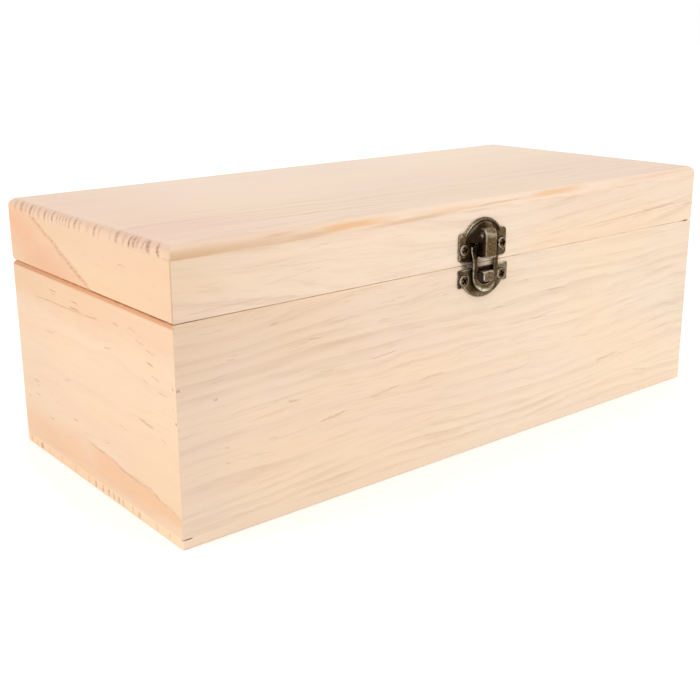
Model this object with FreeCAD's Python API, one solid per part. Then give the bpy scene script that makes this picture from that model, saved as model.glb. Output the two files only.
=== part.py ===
import FreeCAD, Part
import os
from math import cos, sin, tan, radians, sqrt, pi

V = FreeCAD.Vector
os.makedirs("parts", exist_ok=True)

# ---------------------------------------------------------------------------
# Small pine box with a hinged lid, a wooden egg-crate for bottles inside and
# an antique bronze hasp latch on the front.
# Millimetres. +X along the box to the right, +Y to the back, +Z up.
# Origin: middle of the underside of the base board. The front face is -Y.
# ---------------------------------------------------------------------------

# --- wooden box -------------------------------------------------------------
LENGTH = 290.0          # outside, left to right
DEPTH = 131.5           # outside, front to back
SEAM_Z = 81.0           # height of the line between body and lid
LID_H = 26.0            # lid height above the seam line
BASE_T = 4.0            # base board, under the walls over the full footprint
TOP_T = 5.0             # lid top board, over the rails over the full footprint
WALL_T = 8.5            # body walls and lid rails
SEAM_GAP = 0.3          # air between the two rims when shut
ARRIS_R = 0.8           # rounding of the four upright corners
TOP_ROUND_R = 4.0       # roundover along all top edges of the lid
BASE_EASE = 0.5         # easing along the lower edges
BODY_SIDE_EASE = 1.6    # body rim, left and right ends, outer edge
LID_SIDE_EASE = 0.6     # lid rim, left and right ends, outer edge

# --- egg-crate: 3 rows of 8 cells ------------------------------------------
ROWS = 3
COLS = 8
DIV_T = 3.0             # divider thickness
DIV_H = 50.0            # divider height above the base board
DIV_LAP_PLAY = 0.1      # play each side in the half-lap slots
DIV_END_PLAY = 0.15     # play at each end

# --- butt hinges on the back ------------------------------------------------
HINGE_X = 85.0          # hinge centres, left and right of the middle
HINGE_LEN = 30.0
HINGE_IN = 2.0          # axis in from the back face
KNUCKLE_R = 1.7
KNUCKLE_GAP = 0.2
PIN_R = 0.8
PIN_PLAY = 0.05         # radial play in the lid leaf's knuckle
LEAF_T = 0.9
LEAF_W = 6.0            # axis to the leaf's far edge
LEAF_BACK = 2.0         # leaf plate starts this far from the axis
KNUCKLE_CUT_R = 2.1     # cut-out in the wood round the knuckle
BEVEL_DEG = 52.5        # both back rims are bevelled, lid stops at twice this
HSCREW_X = 9.7
HSCREW_Y = 4.0
HSCREW_HEAD_D = 3.5
HSCREW_D = 1.8
HSCREW_LEN = 9.0

# --- latch ------------------------------------------------------------------
PLATE_T = 0.8
LID_PLATE_X = -1.5      # the two plates aren't quite in line on this box
CATCH_X = -0.8
HASP_X = -1.0
LID_PLATE_HALF = 13.6
LID_PLATE_Z0 = 1.6      # heights here are above (+) or below (-) the seam line
LID_PLATE_EAR_Z1 = 13.2
LID_PLATE_R = 12.4
LID_PLATE_CZ = 6.1
NOSE_HALF = 3.7
NOSE_P = 5.5            # how far the nose stands out from the wood
NOSE_Z0 = 2.6
NOSE_Z1 = 11.5
DOME_Z0 = 9.2
DOME_HALF = 8.0
DOME_R = 11.2
PIVOT_Z = 7.4
PIVOT_P = 1.75
BAR_R = 0.75
BAR_PLAY = 0.05
HASP_T = 1.1
HASP_HALF = 7.1
HASP_ARM = 2.4
HASP_BOTTOM = -12.3
WINDOW_BOTTOM = -8.7
WINDOW_R = 3.9
CATCH_HALF = 14.05
CATCH_PLATE_Z0 = -9.1
CATCH_PLATE_Z1 = -1.7
CATCH_PLATE_R = 14.0
CATCH_PLATE_CZ = -0.3
TONGUE_HALF = 2.65
TONGUE_T = 0.9
TONGUE_P = 4.2
TONGUE_Z1 = -3.0
TONGUE_Z0 = -7.3
SCREW_DX = 10.8
SCREW_LID_Z = 6.6
SCREW_CATCH_Z = -6.1
SCREW_MID_X = -1.15
SCREW_HEAD_D = 4.8
SCREW_HEAD_H = 0.75
SCREW_D = 2.0
SCREW_LEN = 7.0

# --- worked out from the above ---------------------------------------------
HX, HY = LENGTH / 2, DEPTH / 2
TOP_Z = SEAM_Z + LID_H
RIM_BODY = SEAM_Z - SEAM_GAP / 2
RIM_LID = SEAM_Z + SEAM_GAP / 2
IN_X, IN_Y = HX - WALL_T, HY - WALL_T
AXIS_Y = HY - HINGE_IN


def box(x0, x1, y0, y1, z0, z1):
    return Part.makeBox(x1 - x0, y1 - y0, z1 - z0, V(x0, y0, z0))


def poly(points):
    return Part.Face(Part.makePolygon(list(points) + [points[0]]))


def prism(points, vec):
    return poly(points).extrude(vec)


def cyl(p, d, r, h):
    return Part.makeCylinder(r, h, p, d)


def fuse(shapes):
    out = shapes[0]
    for s in shapes[1:]:
        out = out.fuse(s)
    return out.removeSplitter()


def one(shape):
    """The single solid in a boolean result."""
    sol = shape.Solids
    assert len(sol) == 1, len(sol)
    return sol[0]


def save(name, shape):
    solids = shape if isinstance(shape, list) else [shape]
    for s in solids:
        assert s.isValid(), name
        assert s.Volume > 0, name
    out = solids[0] if len(solids) == 1 else Part.makeCompound(solids)
    out.exportStep("parts/%s.step" % name)


# --- outer envelope with slightly rounded upright corners -------------------
def envelope(z0, z1):
    b = box(-HX, HX, -HY, HY, z0, z1)
    up = [e for e in b.Edges if abs(e.Vertexes[0].Z - e.Vertexes[1].Z) > 0.1]
    return b.makeFillet(ARRIS_R, up)


# --- four mitred pieces of a frame ------------------------------------------
def frame_piece(side, z0, z1):
    a = {"front": [(-HX, -HY), (HX, -HY), (IN_X, -IN_Y), (-IN_X, -IN_Y)],
         "back": [(HX, HY), (-HX, HY), (-IN_X, IN_Y), (IN_X, IN_Y)],
         "left": [(-HX, HY), (-HX, -HY), (-IN_X, -IN_Y), (-IN_X, IN_Y)],
         "right": [(HX, -HY), (HX, HY), (IN_X, IN_Y), (IN_X, -IN_Y)]}[side]
    p = prism([V(x, y, z0) for x, y in a], V(0, 0, z1 - z0))
    return one(p.common(envelope(z0 - 1, z1 + 1)))


# --- long tools that shape the rims -----------------------------------------
def bevel_tool(up):
    """Bevel along the back rim, from the hinge line to the back face."""
    s = 1 if up else -1
    rim = RIM_LID if up else RIM_BODY
    over = 1.0
    run = HINGE_IN + over
    pts = [V(-HX - 1, AXIS_Y, rim),
           V(-HX - 1, HY + over, rim + s * run * tan(radians(BEVEL_DEG))),
           V(-HX - 1, HY + over, rim - s * 1.0),
           V(-HX - 1, AXIS_Y, rim - s * 1.0)]
    return prism(pts, V(LENGTH + 2, 0, 0))


def ease_tool(sx, rim, up, r):
    """Rounds off the outer rim edge at the left (-1) or right (+1) end."""
    s = 1 if up else -1          # material lies above (+) or below (-) the rim
    x_out = sx * HX
    b = box(min(x_out - sx * r, x_out + sx), max(x_out - sx * r, x_out + sx),
            -HY - 1, HY + 1,
            min(rim + s * r, rim - s), max(rim + s * r, rim - s))
    c = cyl(V(x_out - sx * r, -HY - 2, rim + s * r), V(0, 1, 0), r, DEPTH + 4)
    return b.cut(c)


def knuckle_tool(hx):
    return cyl(V(hx - HINGE_LEN / 2 - 0.3, AXIS_Y, SEAM_Z), V(1, 0, 0),
               KNUCKLE_CUT_R, HINGE_LEN + 0.6)


# --- hinge pieces -----------------------------------------------------------
def csk_screw(x, y, z, up):
    """Countersunk cross-head wood screw; up = it points upwards."""
    d = V(0, 0, 1 if up else -1)
    p = V(x, y, z)
    head_h = (HSCREW_HEAD_D - HSCREW_D) / 2
    head = Part.makeCone(HSCREW_HEAD_D / 2, HSCREW_D / 2, head_h, p, d)
    shank = cyl(p, d, HSCREW_D / 2, HSCREW_LEN - 1.4)
    tip = Part.makeCone(HSCREW_D / 2, 0.2, 1.4, p + d * (HSCREW_LEN - 1.4), d)
    s = fuse([head, shank, tip])
    k = 0.55
    z0, z1 = (z - 0.1, z + k) if up else (z - k, z + 0.1)
    a = box(x - 1.05, x + 1.05, y - 0.25, y + 0.25, z0, z1)
    b = box(x - 0.25, x + 0.25, y - 1.05, y + 1.05, z0, z1)
    full = s
    return one(s.cut(fuse([a, b]))), full


def hinge(hx):
    third = HINGE_LEN / 3
    x0, x1 = hx - HINGE_LEN / 2, hx + HINGE_LEN / 2
    xa, xb = hx - third / 2, hx + third / 2
    ax = V(1, 0, 0)

    def knuckle(a, b):
        return cyl(V(a, AXIS_Y, SEAM_Z), ax, KNUCKLE_R, b - a)

    zb0, zb1 = RIM_BODY - LEAF_T, RIM_BODY
    zl0, zl1 = RIM_LID, RIM_LID + LEAF_T
    body = fuse([
        box(x0, x1, AXIS_Y - LEAF_W, AXIS_Y - LEAF_BACK, zb0, zb1),
        box(x0, xa - KNUCKLE_GAP / 2, AXIS_Y - LEAF_BACK, AXIS_Y, zb0, zb1),
        box(xb + KNUCKLE_GAP / 2, x1, AXIS_Y - LEAF_BACK, AXIS_Y, zb0, zb1),
        knuckle(x0, xa - KNUCKLE_GAP / 2), knuckle(xb + KNUCKLE_GAP / 2, x1)])
    lid = fuse([
        box(x0, x1, AXIS_Y - LEAF_W, AXIS_Y - LEAF_BACK, zl0, zl1),
        box(xa + KNUCKLE_GAP / 2, xb - KNUCKLE_GAP / 2,
            AXIS_Y - LEAF_BACK, AXIS_Y, zl0, zl1),
        knuckle(xa + KNUCKLE_GAP / 2, xb - KNUCKLE_GAP / 2)])
    start = V(x0 - 0.1, AXIS_Y, SEAM_Z)
    pin = cyl(V(x0 + 0.1, AXIS_Y, SEAM_Z), ax, PIN_R, HINGE_LEN - 0.2)
    body = body.cut(cyl(start, ax, PIN_R, HINGE_LEN + 0.2))
    lid = lid.cut(cyl(start, ax, PIN_R + PIN_PLAY, HINGE_LEN + 0.2))
    bs, ls = [], []
    for sx in (-HSCREW_X, HSCREW_X):
        bs.append(csk_screw(hx + sx, AXIS_Y - HSCREW_Y, RIM_BODY, False))
        ls.append(csk_screw(hx + sx, AXIS_Y - HSCREW_Y, RIM_LID, True))
    for s in bs:
        body = body.cut(s[1])
    for s in ls:
        lid = lid.cut(s[1])
    body_pocket = box(x0, x1, AXIS_Y - LEAF_W, AXIS_Y, zb0, zb1 + 0.1)
    lid_pocket = box(x0, x1, AXIS_Y - LEAF_W, AXIS_Y, zl0 - 0.1, zl1)
    return dict(body=one(body), lid=one(lid), pin=pin,
                bs=bs, ls=ls, body_pocket=body_pocket, lid_pocket=lid_pocket)


hinges = {"left": hinge(-HINGE_X), "right": hinge(HINGE_X)}

# --- latch helpers: u across, p out from the front face, z from the seam -----
FRONT = -HY


def Q(u, p, z, xc):
    return V(xc + u, FRONT - p, SEAM_Z + z)


def slab(u0, u1, p0, p1, z0, z1, xc):
    return box(xc + u0, xc + u1, FRONT - p1, FRONT - p0, SEAM_Z + z0, SEAM_Z + z1)


def disc(u, z, r, p0, p1, xc):
    return cyl(Q(u, p1, z, xc), V(0, 1, 0), r, p1 - p0)


def upright_edges(shape):
    """Edges that run along Y (plate thickness)."""
    out = []
    for e in shape.Edges:
        a, b = e.Vertexes[0].Point, e.Vertexes[-1].Point
        d = b - a
        if e.Curve.TypeId == "Part::GeomLine" and abs(d.x) + abs(d.z) < 1e-6:
            out.append(e)
    return out


def ellipsoid(u, p, z, au, ap, az, xc):
    s = Part.makeSphere(1.0)
    m = FreeCAD.Matrix()
    m.scale(au, ap, az)
    s = s.transformGeometry(m)
    c = Q(u, p, z, xc)
    s.translate(c)
    return s


def pan_screw(x, z, turn):
    """Raised-head cross-head wood screw through a plate, pointing +Y."""
    r, h, k = SCREW_HEAD_D / 2, SCREW_HEAD_H, 0.25
    y0 = FRONT - PLATE_T
    # head profile turned about the screw's own axis
    c = V(x, y0, SEAM_Z + z)
    a = Part.LineSegment(V(0, 0, 0), V(r, 0, 0)).toShape()
    b = Part.LineSegment(V(r, 0, 0), V(r, -k, 0)).toShape()
    d = Part.Arc(V(r, -k, 0), V(r * 0.62, -k - (h - k) * 0.66, 0), V(0, -h, 0)).toShape()
    e = Part.LineSegment(V(0, -h, 0), V(0, 0, 0)).toShape()
    face = Part.Face(Part.Wire([a, b, d, e]))
    head = face.revolve(V(0, 0, 0), V(0, 1, 0), 360)
    head.translate(c)
    if isinstance(head, Part.Shell):
        head = Part.Solid(head)
    shank = cyl(V(x, y0 - 0.01, SEAM_Z + z), V(0, 1, 0), SCREW_D / 2, SCREW_LEN - 1.4)
    tip = Part.makeCone(SCREW_D / 2, 0.2, 1.4,
                        V(x, y0 - 0.01 + SCREW_LEN - 1.4, SEAM_Z + z), V(0, 1, 0))
    s = fuse([head, shank, tip])
    cross = fuse([box(-1.4, 1.4, -0.32, 0.32, -0.6, 0.6),
                  box(-0.32, 0.32, -1.4, 1.4, -0.6, 0.6)])
    cross.rotate(V(0, 0, 0), V(1, 0, 0), 90)
    cross.rotate(V(0, 0, 0), V(0, 1, 0), turn)
    cross.translate(V(x, y0 - h, SEAM_Z + z))
    return one(s.cut(cross))


# --- latch: plate on the lid, with a dome and a nose over the hasp's bar -----
xc = LID_PLATE_X
ears = slab(-LID_PLATE_HALF, LID_PLATE_HALF, 0, PLATE_T,
            LID_PLATE_Z0, LID_PLATE_EAR_Z1, xc)
ears = ears.makeFillet(1.7, upright_edges(ears))
crown = disc(0, LID_PLATE_CZ, LID_PLATE_R, 0, PLATE_T, xc).common(
    slab(-20, 20, -1, 3, LID_PLATE_Z0, 30, xc))


def dome(r, half, shrink, z0, p0):
    d = ellipsoid(0, -2.0, 7.0, 12.0 - shrink, 6.2 - shrink, 12.0 - shrink, xc)
    d = d.common(disc(0, LID_PLATE_CZ, r, -1, 8, xc))
    return d.common(slab(-half, half, p0, 9, z0, 30, xc))


def nose(half, p, z0, r, p_back, z_top):
    pts = [Q(-half, p_back, z0, xc), Q(-half, p, z0, xc), Q(-half, p, NOSE_Z1, xc)]
    mid = Q(-half, PLATE_T + r * cos(radians(45)), NOSE_Z1 + r * sin(radians(45)), xc)
    end = Q(-half, PLATE_T, NOSE_Z1 + r, xc)
    last = Q(-half, p_back, NOSE_Z1 + r, xc)
    edges = [Part.LineSegment(pts[0], pts[1]).toShape(),
             Part.LineSegment(pts[1], pts[2]).toShape(),
             Part.Arc(pts[2], mid, end).toShape(),
             Part.LineSegment(end, last).toShape(),
             Part.LineSegment(last, pts[0]).toShape()]
    return Part.Face(Part.Wire(edges)).extrude(V(2 * half, 0, 0))


nose_out = nose(NOSE_HALF, NOSE_P, NOSE_Z0, NOSE_P - PLATE_T, 0.0, 0)
side = [e for e in nose_out.Edges
        if abs(e.Vertexes[0].Y - (FRONT - NOSE_P)) < 1e-6
        and abs(e.Vertexes[-1].Y - (FRONT - NOSE_P)) < 1e-6
        and abs(e.Vertexes[0].X - e.Vertexes[-1].X) < 1e-6]
arcs = [e for e in nose_out.Edges if e.Curve.TypeId == "Part::GeomCircle"]
nose_out = nose_out.makeFillet(0.9, side + arcs)
nose_in = nose(NOSE_HALF - PLATE_T, NOSE_P - PLATE_T, NOSE_Z0 - 0.5,
               NOSE_P - 2 * PLATE_T, -0.5, 0)
lid_plate = fuse([ears.fuse(crown),
                  dome(DOME_R, DOME_HALF, 0.0, DOME_Z0, 0.0), nose_out])
lid_plate = lid_plate.cut(nose_in)
lid_plate = lid_plate.cut(dome(DOME_R - PLATE_T, DOME_HALF - PLATE_T, PLATE_T,
                               DOME_Z0 - 0.5, PLATE_T))
lid_plate = lid_plate.cut(slab(-DOME_HALF + PLATE_T, DOME_HALF - PLATE_T,
                               -0.5, PLATE_T + 0.05, DOME_Z0 + 0.4, 14.5, xc))
# bearing slots for the hasp's bar, open to the back
for u0 in (-NOSE_HALF - 0.3, NOSE_HALF - PLATE_T - 0.3):
    u1 = u0 + PLATE_T + 0.6
    lid_plate = lid_plate.cut(cyl(Q(u0, PIVOT_P, PIVOT_Z, xc), V(1, 0, 0),
                                  BAR_R + BAR_PLAY, u1 - u0))
    lid_plate = lid_plate.cut(slab(u0, u1, -0.5, PIVOT_P, PIVOT_Z - BAR_R - BAR_PLAY,
                                   PIVOT_Z + BAR_R + BAR_PLAY, xc))
lid_screws = [pan_screw(SCREW_MID_X - SCREW_DX, SCREW_LID_Z - 0.2, 24),
              pan_screw(SCREW_MID_X + SCREW_DX, SCREW_LID_Z + 0.2, 10)]
for s in lid_screws:
    lid_plate = lid_plate.cut(cyl(V(s.CenterOfMass.x, FRONT - 3, s.CenterOfMass.z),
                                  V(0, 1, 0), SCREW_D / 2, 6))
lid_plate = one(lid_plate)

# --- latch: the swinging hasp, a ring with a round bar across its top --------
xc = HASP_X
p0, p1 = PIVOT_P - HASP_T / 2, PIVOT_P + HASP_T / 2
ring = fuse([disc(0, HASP_BOTTOM + HASP_HALF, HASP_HALF, p0, p1, xc),
             slab(-HASP_HALF, HASP_HALF, p0, p1, HASP_BOTTOM + HASP_HALF,
                  PIVOT_Z, xc)])
wh = HASP_HALF - HASP_ARM
window = slab(-wh, wh, p0 - 1, p1 + 1, WINDOW_BOTTOM, PIVOT_Z + 2, xc)
low = [e for e in upright_edges(window) if e.Vertexes[0].Z < SEAM_Z + WINDOW_BOTTOM + 0.1]
window = window.makeFillet(WINDOW_R, low)
ring = ring.cut(window)
front_edges = [e for e in ring.Edges
               if all(abs(v.Y - (FRONT - p1)) < 1e-6 for v in e.Vertexes)
               and max(v.Z for v in e.Vertexes) < SEAM_Z + PIVOT_Z + 0.01
               and not (all(abs(v.Z - SEAM_Z - PIVOT_Z) < 1e-6 for v in e.Vertexes))]
try:
    ring = ring.makeFillet(0.35, front_edges)
except Exception:
    pass
bar = cyl(Q(-HASP_HALF, PIVOT_P, PIVOT_Z, xc), V(1, 0, 0), BAR_R, 2 * HASP_HALF)
hasp = one(fuse([ring, bar]))

# --- latch: plate on the body with its bent-out tongue -----------------------
xc = CATCH_X
ears = slab(-CATCH_HALF, CATCH_HALF, 0, PLATE_T, CATCH_PLATE_Z0, CATCH_PLATE_Z1, xc)
ears = ears.makeFillet(0.8, upright_edges(ears))
bowl = disc(0, CATCH_PLATE_CZ, CATCH_PLATE_R, 0, PLATE_T, xc).common(
    slab(-20, 20, -1, 3, -30, CATCH_PLATE_Z1, xc))
catch = fuse([ears, bowl])
catch = catch.cut(slab(-TONGUE_HALF - 0.25, TONGUE_HALF + 0.25, -1, 2,
                       -9.6, TONGUE_Z1 - TONGUE_T, xc))
ro = 1.3
ri = ro - TONGUE_T
k = cos(radians(45))
u = -TONGUE_HALF
o = (TONGUE_P - ro, TONGUE_Z1 - ro)      # bend centre
pts = [(0.0, TONGUE_Z1), (TONGUE_P - ro, TONGUE_Z1)]
edges = [Part.LineSegment(Q(u, 0.0, TONGUE_Z1, xc), Q(u, o[0], TONGUE_Z1, xc)).toShape(),
         Part.Arc(Q(u, o[0], TONGUE_Z1, xc), Q(u, o[0] + ro * k, o[1] + ro * k, xc),
                  Q(u, TONGUE_P, o[1], xc)).toShape(),
         Part.LineSegment(Q(u, TONGUE_P, o[1], xc), Q(u, TONGUE_P, TONGUE_Z0 + 0.4, xc)).toShape(),
         Part.LineSegment(Q(u, TONGUE_P, TONGUE_Z0 + 0.4, xc), Q(u, TONGUE_P - 0.4, TONGUE_Z0, xc)).toShape(),
         Part.LineSegment(Q(u, TONGUE_P - 0.4, TONGUE_Z0, xc), Q(u, TONGUE_P - TONGUE_T, TONGUE_Z0, xc)).toShape(),
         Part.LineSegment(Q(u, TONGUE_P - TONGUE_T, TONGUE_Z0, xc), Q(u, TONGUE_P - TONGUE_T, o[1], xc)).toShape(),
         Part.Arc(Q(u, TONGUE_P - TONGUE_T, o[1], xc), Q(u, o[0] + ri * k, o[1] + ri * k, xc),
                  Q(u, o[0], TONGUE_Z1 - TONGUE_T, xc)).toShape(),
         Part.LineSegment(Q(u, o[0], TONGUE_Z1 - TONGUE_T, xc), Q(u, 0.0, TONGUE_Z1 - TONGUE_T, xc)).toShape(),
         Part.LineSegment(Q(u, 0.0, TONGUE_Z1 - TONGUE_T, xc), Q(u, 0.0, TONGUE_Z1, xc)).toShape()]
tongue = Part.Face(Part.Wire(edges)).extrude(V(2 * TONGUE_HALF, 0, 0))
catch = fuse([catch, tongue])
catch_screws = [pan_screw(SCREW_MID_X - SCREW_DX, SCREW_CATCH_Z, 38),
                pan_screw(SCREW_MID_X + SCREW_DX, SCREW_CATCH_Z - 0.1, 18)]
for s in catch_screws:
    catch = catch.cut(cyl(V(s.CenterOfMass.x, FRONT - 3, s.CenterOfMass.z),
                          V(0, 1, 0), SCREW_D / 2, 6))
catch = one(catch)


def screw_hole(s):
    """Hole that a latch screw makes in the wood, the shank's own size."""
    c = s.CenterOfMass
    z = c.z
    y0 = FRONT - PLATE_T - 0.01
    return fuse([cyl(V(c.x, y0, z), V(0, 1, 0), SCREW_D / 2, SCREW_LEN - 1.4),
                 Part.makeCone(SCREW_D / 2, 0.2, 1.4,
                               V(c.x, y0 + SCREW_LEN - 1.4, z), V(0, 1, 0))])


# --- body walls --------------------------------------------------------------
for side in ("front", "back", "left", "right"):
    w = frame_piece(side, BASE_T, RIM_BODY)
    for sx in (-1, 1):
        w = w.cut(ease_tool(sx, RIM_BODY, False, BODY_SIDE_EASE))
    if side in ("back", "left", "right"):
        w = w.cut(bevel_tool(False))
    if side == "back":
        for h, hx in ((hinges["left"], -HINGE_X), (hinges["right"], HINGE_X)):
            w = w.cut(h["body_pocket"]).cut(knuckle_tool(hx))
            for s in h["bs"]:
                w = w.cut(s[1])
    if side == "front":
        for s in catch_screws:
            w = w.cut(screw_hole(s))
    save(side + "_wall", one(w))

# --- base board ---------------------------------------------------------------
base = envelope(0, BASE_T)
low = [e for e in base.Edges if all(abs(v.Z) < 1e-6 for v in e.Vertexes)]
base = base.makeFillet(BASE_EASE, low)
save("base_board", one(base))

# --- lid rails -----------------------------------------------------------------
for side in ("front", "back", "left", "right"):
    w = frame_piece(side, RIM_LID, TOP_Z - TOP_T)
    for sx in (-1, 1):
        w = w.cut(ease_tool(sx, RIM_LID, True, LID_SIDE_EASE))
    if side in ("back", "left", "right"):
        w = w.cut(bevel_tool(True))
    if side == "back":
        for h, hx in ((hinges["left"], -HINGE_X), (hinges["right"], HINGE_X)):
            w = w.cut(h["lid_pocket"]).cut(knuckle_tool(hx))
            for s in h["ls"]:
                w = w.cut(s[1])
    if side == "front":
        for s in lid_screws:
            w = w.cut(screw_hole(s))
    save("lid_%s_rail" % side, one(w))

# --- lid top board: roundover along all four top edges --------------------------
top = box(-HX, HX, -HY, HY, TOP_Z - TOP_T, TOP_Z)
high = [e for e in top.Edges if all(abs(v.Z - TOP_Z) < 1e-6 for v in e.Vertexes)]
top = top.makeFillet(TOP_ROUND_R, high)
top = top.common(envelope(TOP_Z - TOP_T - 1, TOP_Z + 1))
save("lid_top_board", one(top))

# --- egg-crate -------------------------------------------------------------------
cell_x = (2 * IN_X - (COLS - 1) * DIV_T) / COLS
cell_y = (2 * IN_Y - (ROWS - 1) * DIV_T) / ROWS
z0, z1 = BASE_T, BASE_T + DIV_H
zm = (z0 + z1) / 2
long_y = [-IN_Y + (i + 1) * cell_y + i * DIV_T for i in range(ROWS - 1)]
cross_x = [-IN_X + (i + 1) * cell_x + i * DIV_T for i in range(COLS - 1)]
for i, y in enumerate(long_y):
    d = box(-IN_X + DIV_END_PLAY, IN_X - DIV_END_PLAY, y, y + DIV_T, z0, z1)
    for x in cross_x:                    # slots open at the top
        d = d.cut(box(x - DIV_LAP_PLAY, x + DIV_T + DIV_LAP_PLAY,
                      y - 1, y + DIV_T + 1, zm, z1 + 1))
    save("long_divider_%d" % (i + 1), one(d))
for i, x in enumerate(cross_x):
    d = box(x, x + DIV_T, -IN_Y + DIV_END_PLAY, IN_Y - DIV_END_PLAY, z0, z1)
    for y in long_y:                     # slots open at the bottom
        d = d.cut(box(x - 1, x + DIV_T + 1,
                      y - DIV_LAP_PLAY, y + DIV_T + DIV_LAP_PLAY, z0 - 1, zm))
    save("cross_divider_%d" % (i + 1), one(d))
print("cells", round(cell_x, 2), round(cell_y, 2))

# --- hinges ------------------------------------------------------------------------
for name, h in hinges.items():
    save(name + "_hinge_body_leaf", h["body"])
    save(name + "_hinge_lid_leaf", h["lid"])
    save(name + "_hinge_pin", h["pin"])
    save(name + "_hinge_body_screws", [s[0] for s in h["bs"]])
    save(name + "_hinge_lid_screws", [s[0] for s in h["ls"]])

# --- latch ---------------------------------------------------------------------------
save("latch_lid_plate", lid_plate)
save("latch_hasp", hasp)
save("latch_catch_plate", catch)
save("latch_lid_screws", lid_screws)
save("latch_catch_screws", catch_screws)
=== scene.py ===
import math

import bpy
import numpy as np
from mathutils import Matrix, Vector


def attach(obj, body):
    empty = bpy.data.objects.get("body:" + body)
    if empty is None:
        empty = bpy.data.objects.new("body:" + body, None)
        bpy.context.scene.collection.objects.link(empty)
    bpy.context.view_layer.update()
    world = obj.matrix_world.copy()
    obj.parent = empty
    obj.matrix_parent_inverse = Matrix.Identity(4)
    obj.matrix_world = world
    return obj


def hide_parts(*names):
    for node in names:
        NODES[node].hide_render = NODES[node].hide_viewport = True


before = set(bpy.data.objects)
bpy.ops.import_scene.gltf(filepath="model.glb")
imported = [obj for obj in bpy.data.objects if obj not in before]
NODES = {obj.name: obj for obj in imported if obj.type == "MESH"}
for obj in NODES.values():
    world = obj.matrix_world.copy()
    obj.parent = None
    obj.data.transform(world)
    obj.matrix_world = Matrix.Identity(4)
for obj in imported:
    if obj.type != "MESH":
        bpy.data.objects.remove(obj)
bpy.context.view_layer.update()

# ---------------------------------------------------------------------------
# Sizes in millimetres, as in the construction: X along the box, Y to the
# back, Z up, origin under the middle of the base board.
# ---------------------------------------------------------------------------
LENGTH, DEPTH, SEAM_Z, TOP_Z = 290.0, 131.5, 81.0, 107.0
FRONT = -DEPTH / 2
LID_PLATE_X, CATCH_X, HASP_X = -1.5, -0.8, -1.0
PIVOT_P, PIVOT_Z = 1.75, 7.4
SCREW_MID_X, SCREW_DX = -1.15, 10.8

# ---------------------------------------------------------------------------
# Node building helpers
# ---------------------------------------------------------------------------


class Tree:
    """Small wrapper that adds shader nodes and links them."""

    def __init__(self, tree):
        self.t = tree
        self.n = tree.nodes
        self.l = tree.links

    def node(self, kind, **props):
        nd = self.n.new(kind)
        for k, v in props.items():
            setattr(nd, k, v)
        return nd

    def put(self, socket, value):
        if hasattr(value, "is_output") or isinstance(value, bpy.types.NodeSocket):
            self.l.new(value, socket)
        elif value is not None:
            socket.default_value = value

    def m(self, op, a, b=None, c=None, clamp=False):
        nd = self.node("ShaderNodeMath", operation=op, use_clamp=clamp)
        for s, v in zip(nd.inputs, (a, b, c)):
            self.put(s, v)
        return nd.outputs[0]

    def add(self, a, b):
        return self.m("ADD", a, b)

    def sub(self, a, b):
        return self.m("SUBTRACT", a, b)

    def mul(self, a, b):
        return self.m("MULTIPLY", a, b)

    def div(self, a, b):
        return self.m("DIVIDE", a, b)

    def absf(self, a):
        return self.m("ABSOLUTE", a)

    def mn(self, a, b):
        return self.m("MINIMUM", a, b)

    def mx(self, a, b):
        return self.m("MAXIMUM", a, b)

    def inv(self, a):
        return self.sub(1.0, a)

    def step(self, x, a, b, lo=0.0, hi=1.0, smooth=True):
        """lo below a, hi above b, smooth in between (a may be above b)."""
        nd = self.node("ShaderNodeMapRange",
                       interpolation_type="SMOOTHSTEP" if smooth else "LINEAR")
        nd.clamp = True
        if a > b:
            a, b, lo, hi = b, a, hi, lo
        self.put(nd.inputs[0], x)
        for i, v in zip((1, 2, 3, 4), (a, b, lo, hi)):
            nd.inputs[i].default_value = v
        return nd.outputs[0]

    def xyz(self, x, y, z):
        nd = self.node("ShaderNodeCombineXYZ")
        for s, v in zip(nd.inputs, (x, y, z)):
            self.put(s, v)
        return nd.outputs[0]

    def noise(self, vec, scale=1.0, detail=2.0, rough=0.5, dist=0.0, dims="3D", w=None):
        nd = self.node("ShaderNodeTexNoise", noise_dimensions=dims)
        nd.inputs["Scale"].default_value = scale
        nd.inputs["Detail"].default_value = detail
        nd.inputs["Roughness"].default_value = rough
        nd.inputs["Distortion"].default_value = dist
        self.l.new(vec, nd.inputs["Vector"])
        if w is not None:
            nd.inputs["W"].default_value = w
        return nd.outputs[0]

    def mix(self, fac, a, b, blend="MIX"):
        nd = self.node("ShaderNodeMix", data_type="RGBA", blend_type=blend)
        nd.clamp_factor = True
        self.put(nd.inputs[0], fac)
        self.put(nd.inputs[6], a)
        self.put(nd.inputs[7], b)
        return nd.outputs[2]


EXPOSURE = [1.0, 1.0, 1.0]    # light on the face that is being painted


def rgb(r, g, b):
    """The seen sRGB colour, 0-255, to the linear base colour that gives it."""
    out = []
    for c, e in zip((r, g, b), EXPOSURE):
        c = c / 255.0
        c = c / 12.92 if c <= 0.04045 else ((c + 0.055) / 1.055) ** 2.4
        out.append(min(c / e, 0.97))
    return (*out, 1.0)


def new_material(name):
    mat = bpy.data.materials.new(name)
    mat.use_nodes = True
    nt = mat.node_tree
    nt.nodes.clear()
    T = Tree(nt)
    out = T.node("ShaderNodeOutputMaterial")
    bsdf = T.node("ShaderNodeBsdfPrincipled")
    T.l.new(bsdf.outputs[0], out.inputs[0])
    return mat, T, bsdf


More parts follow.
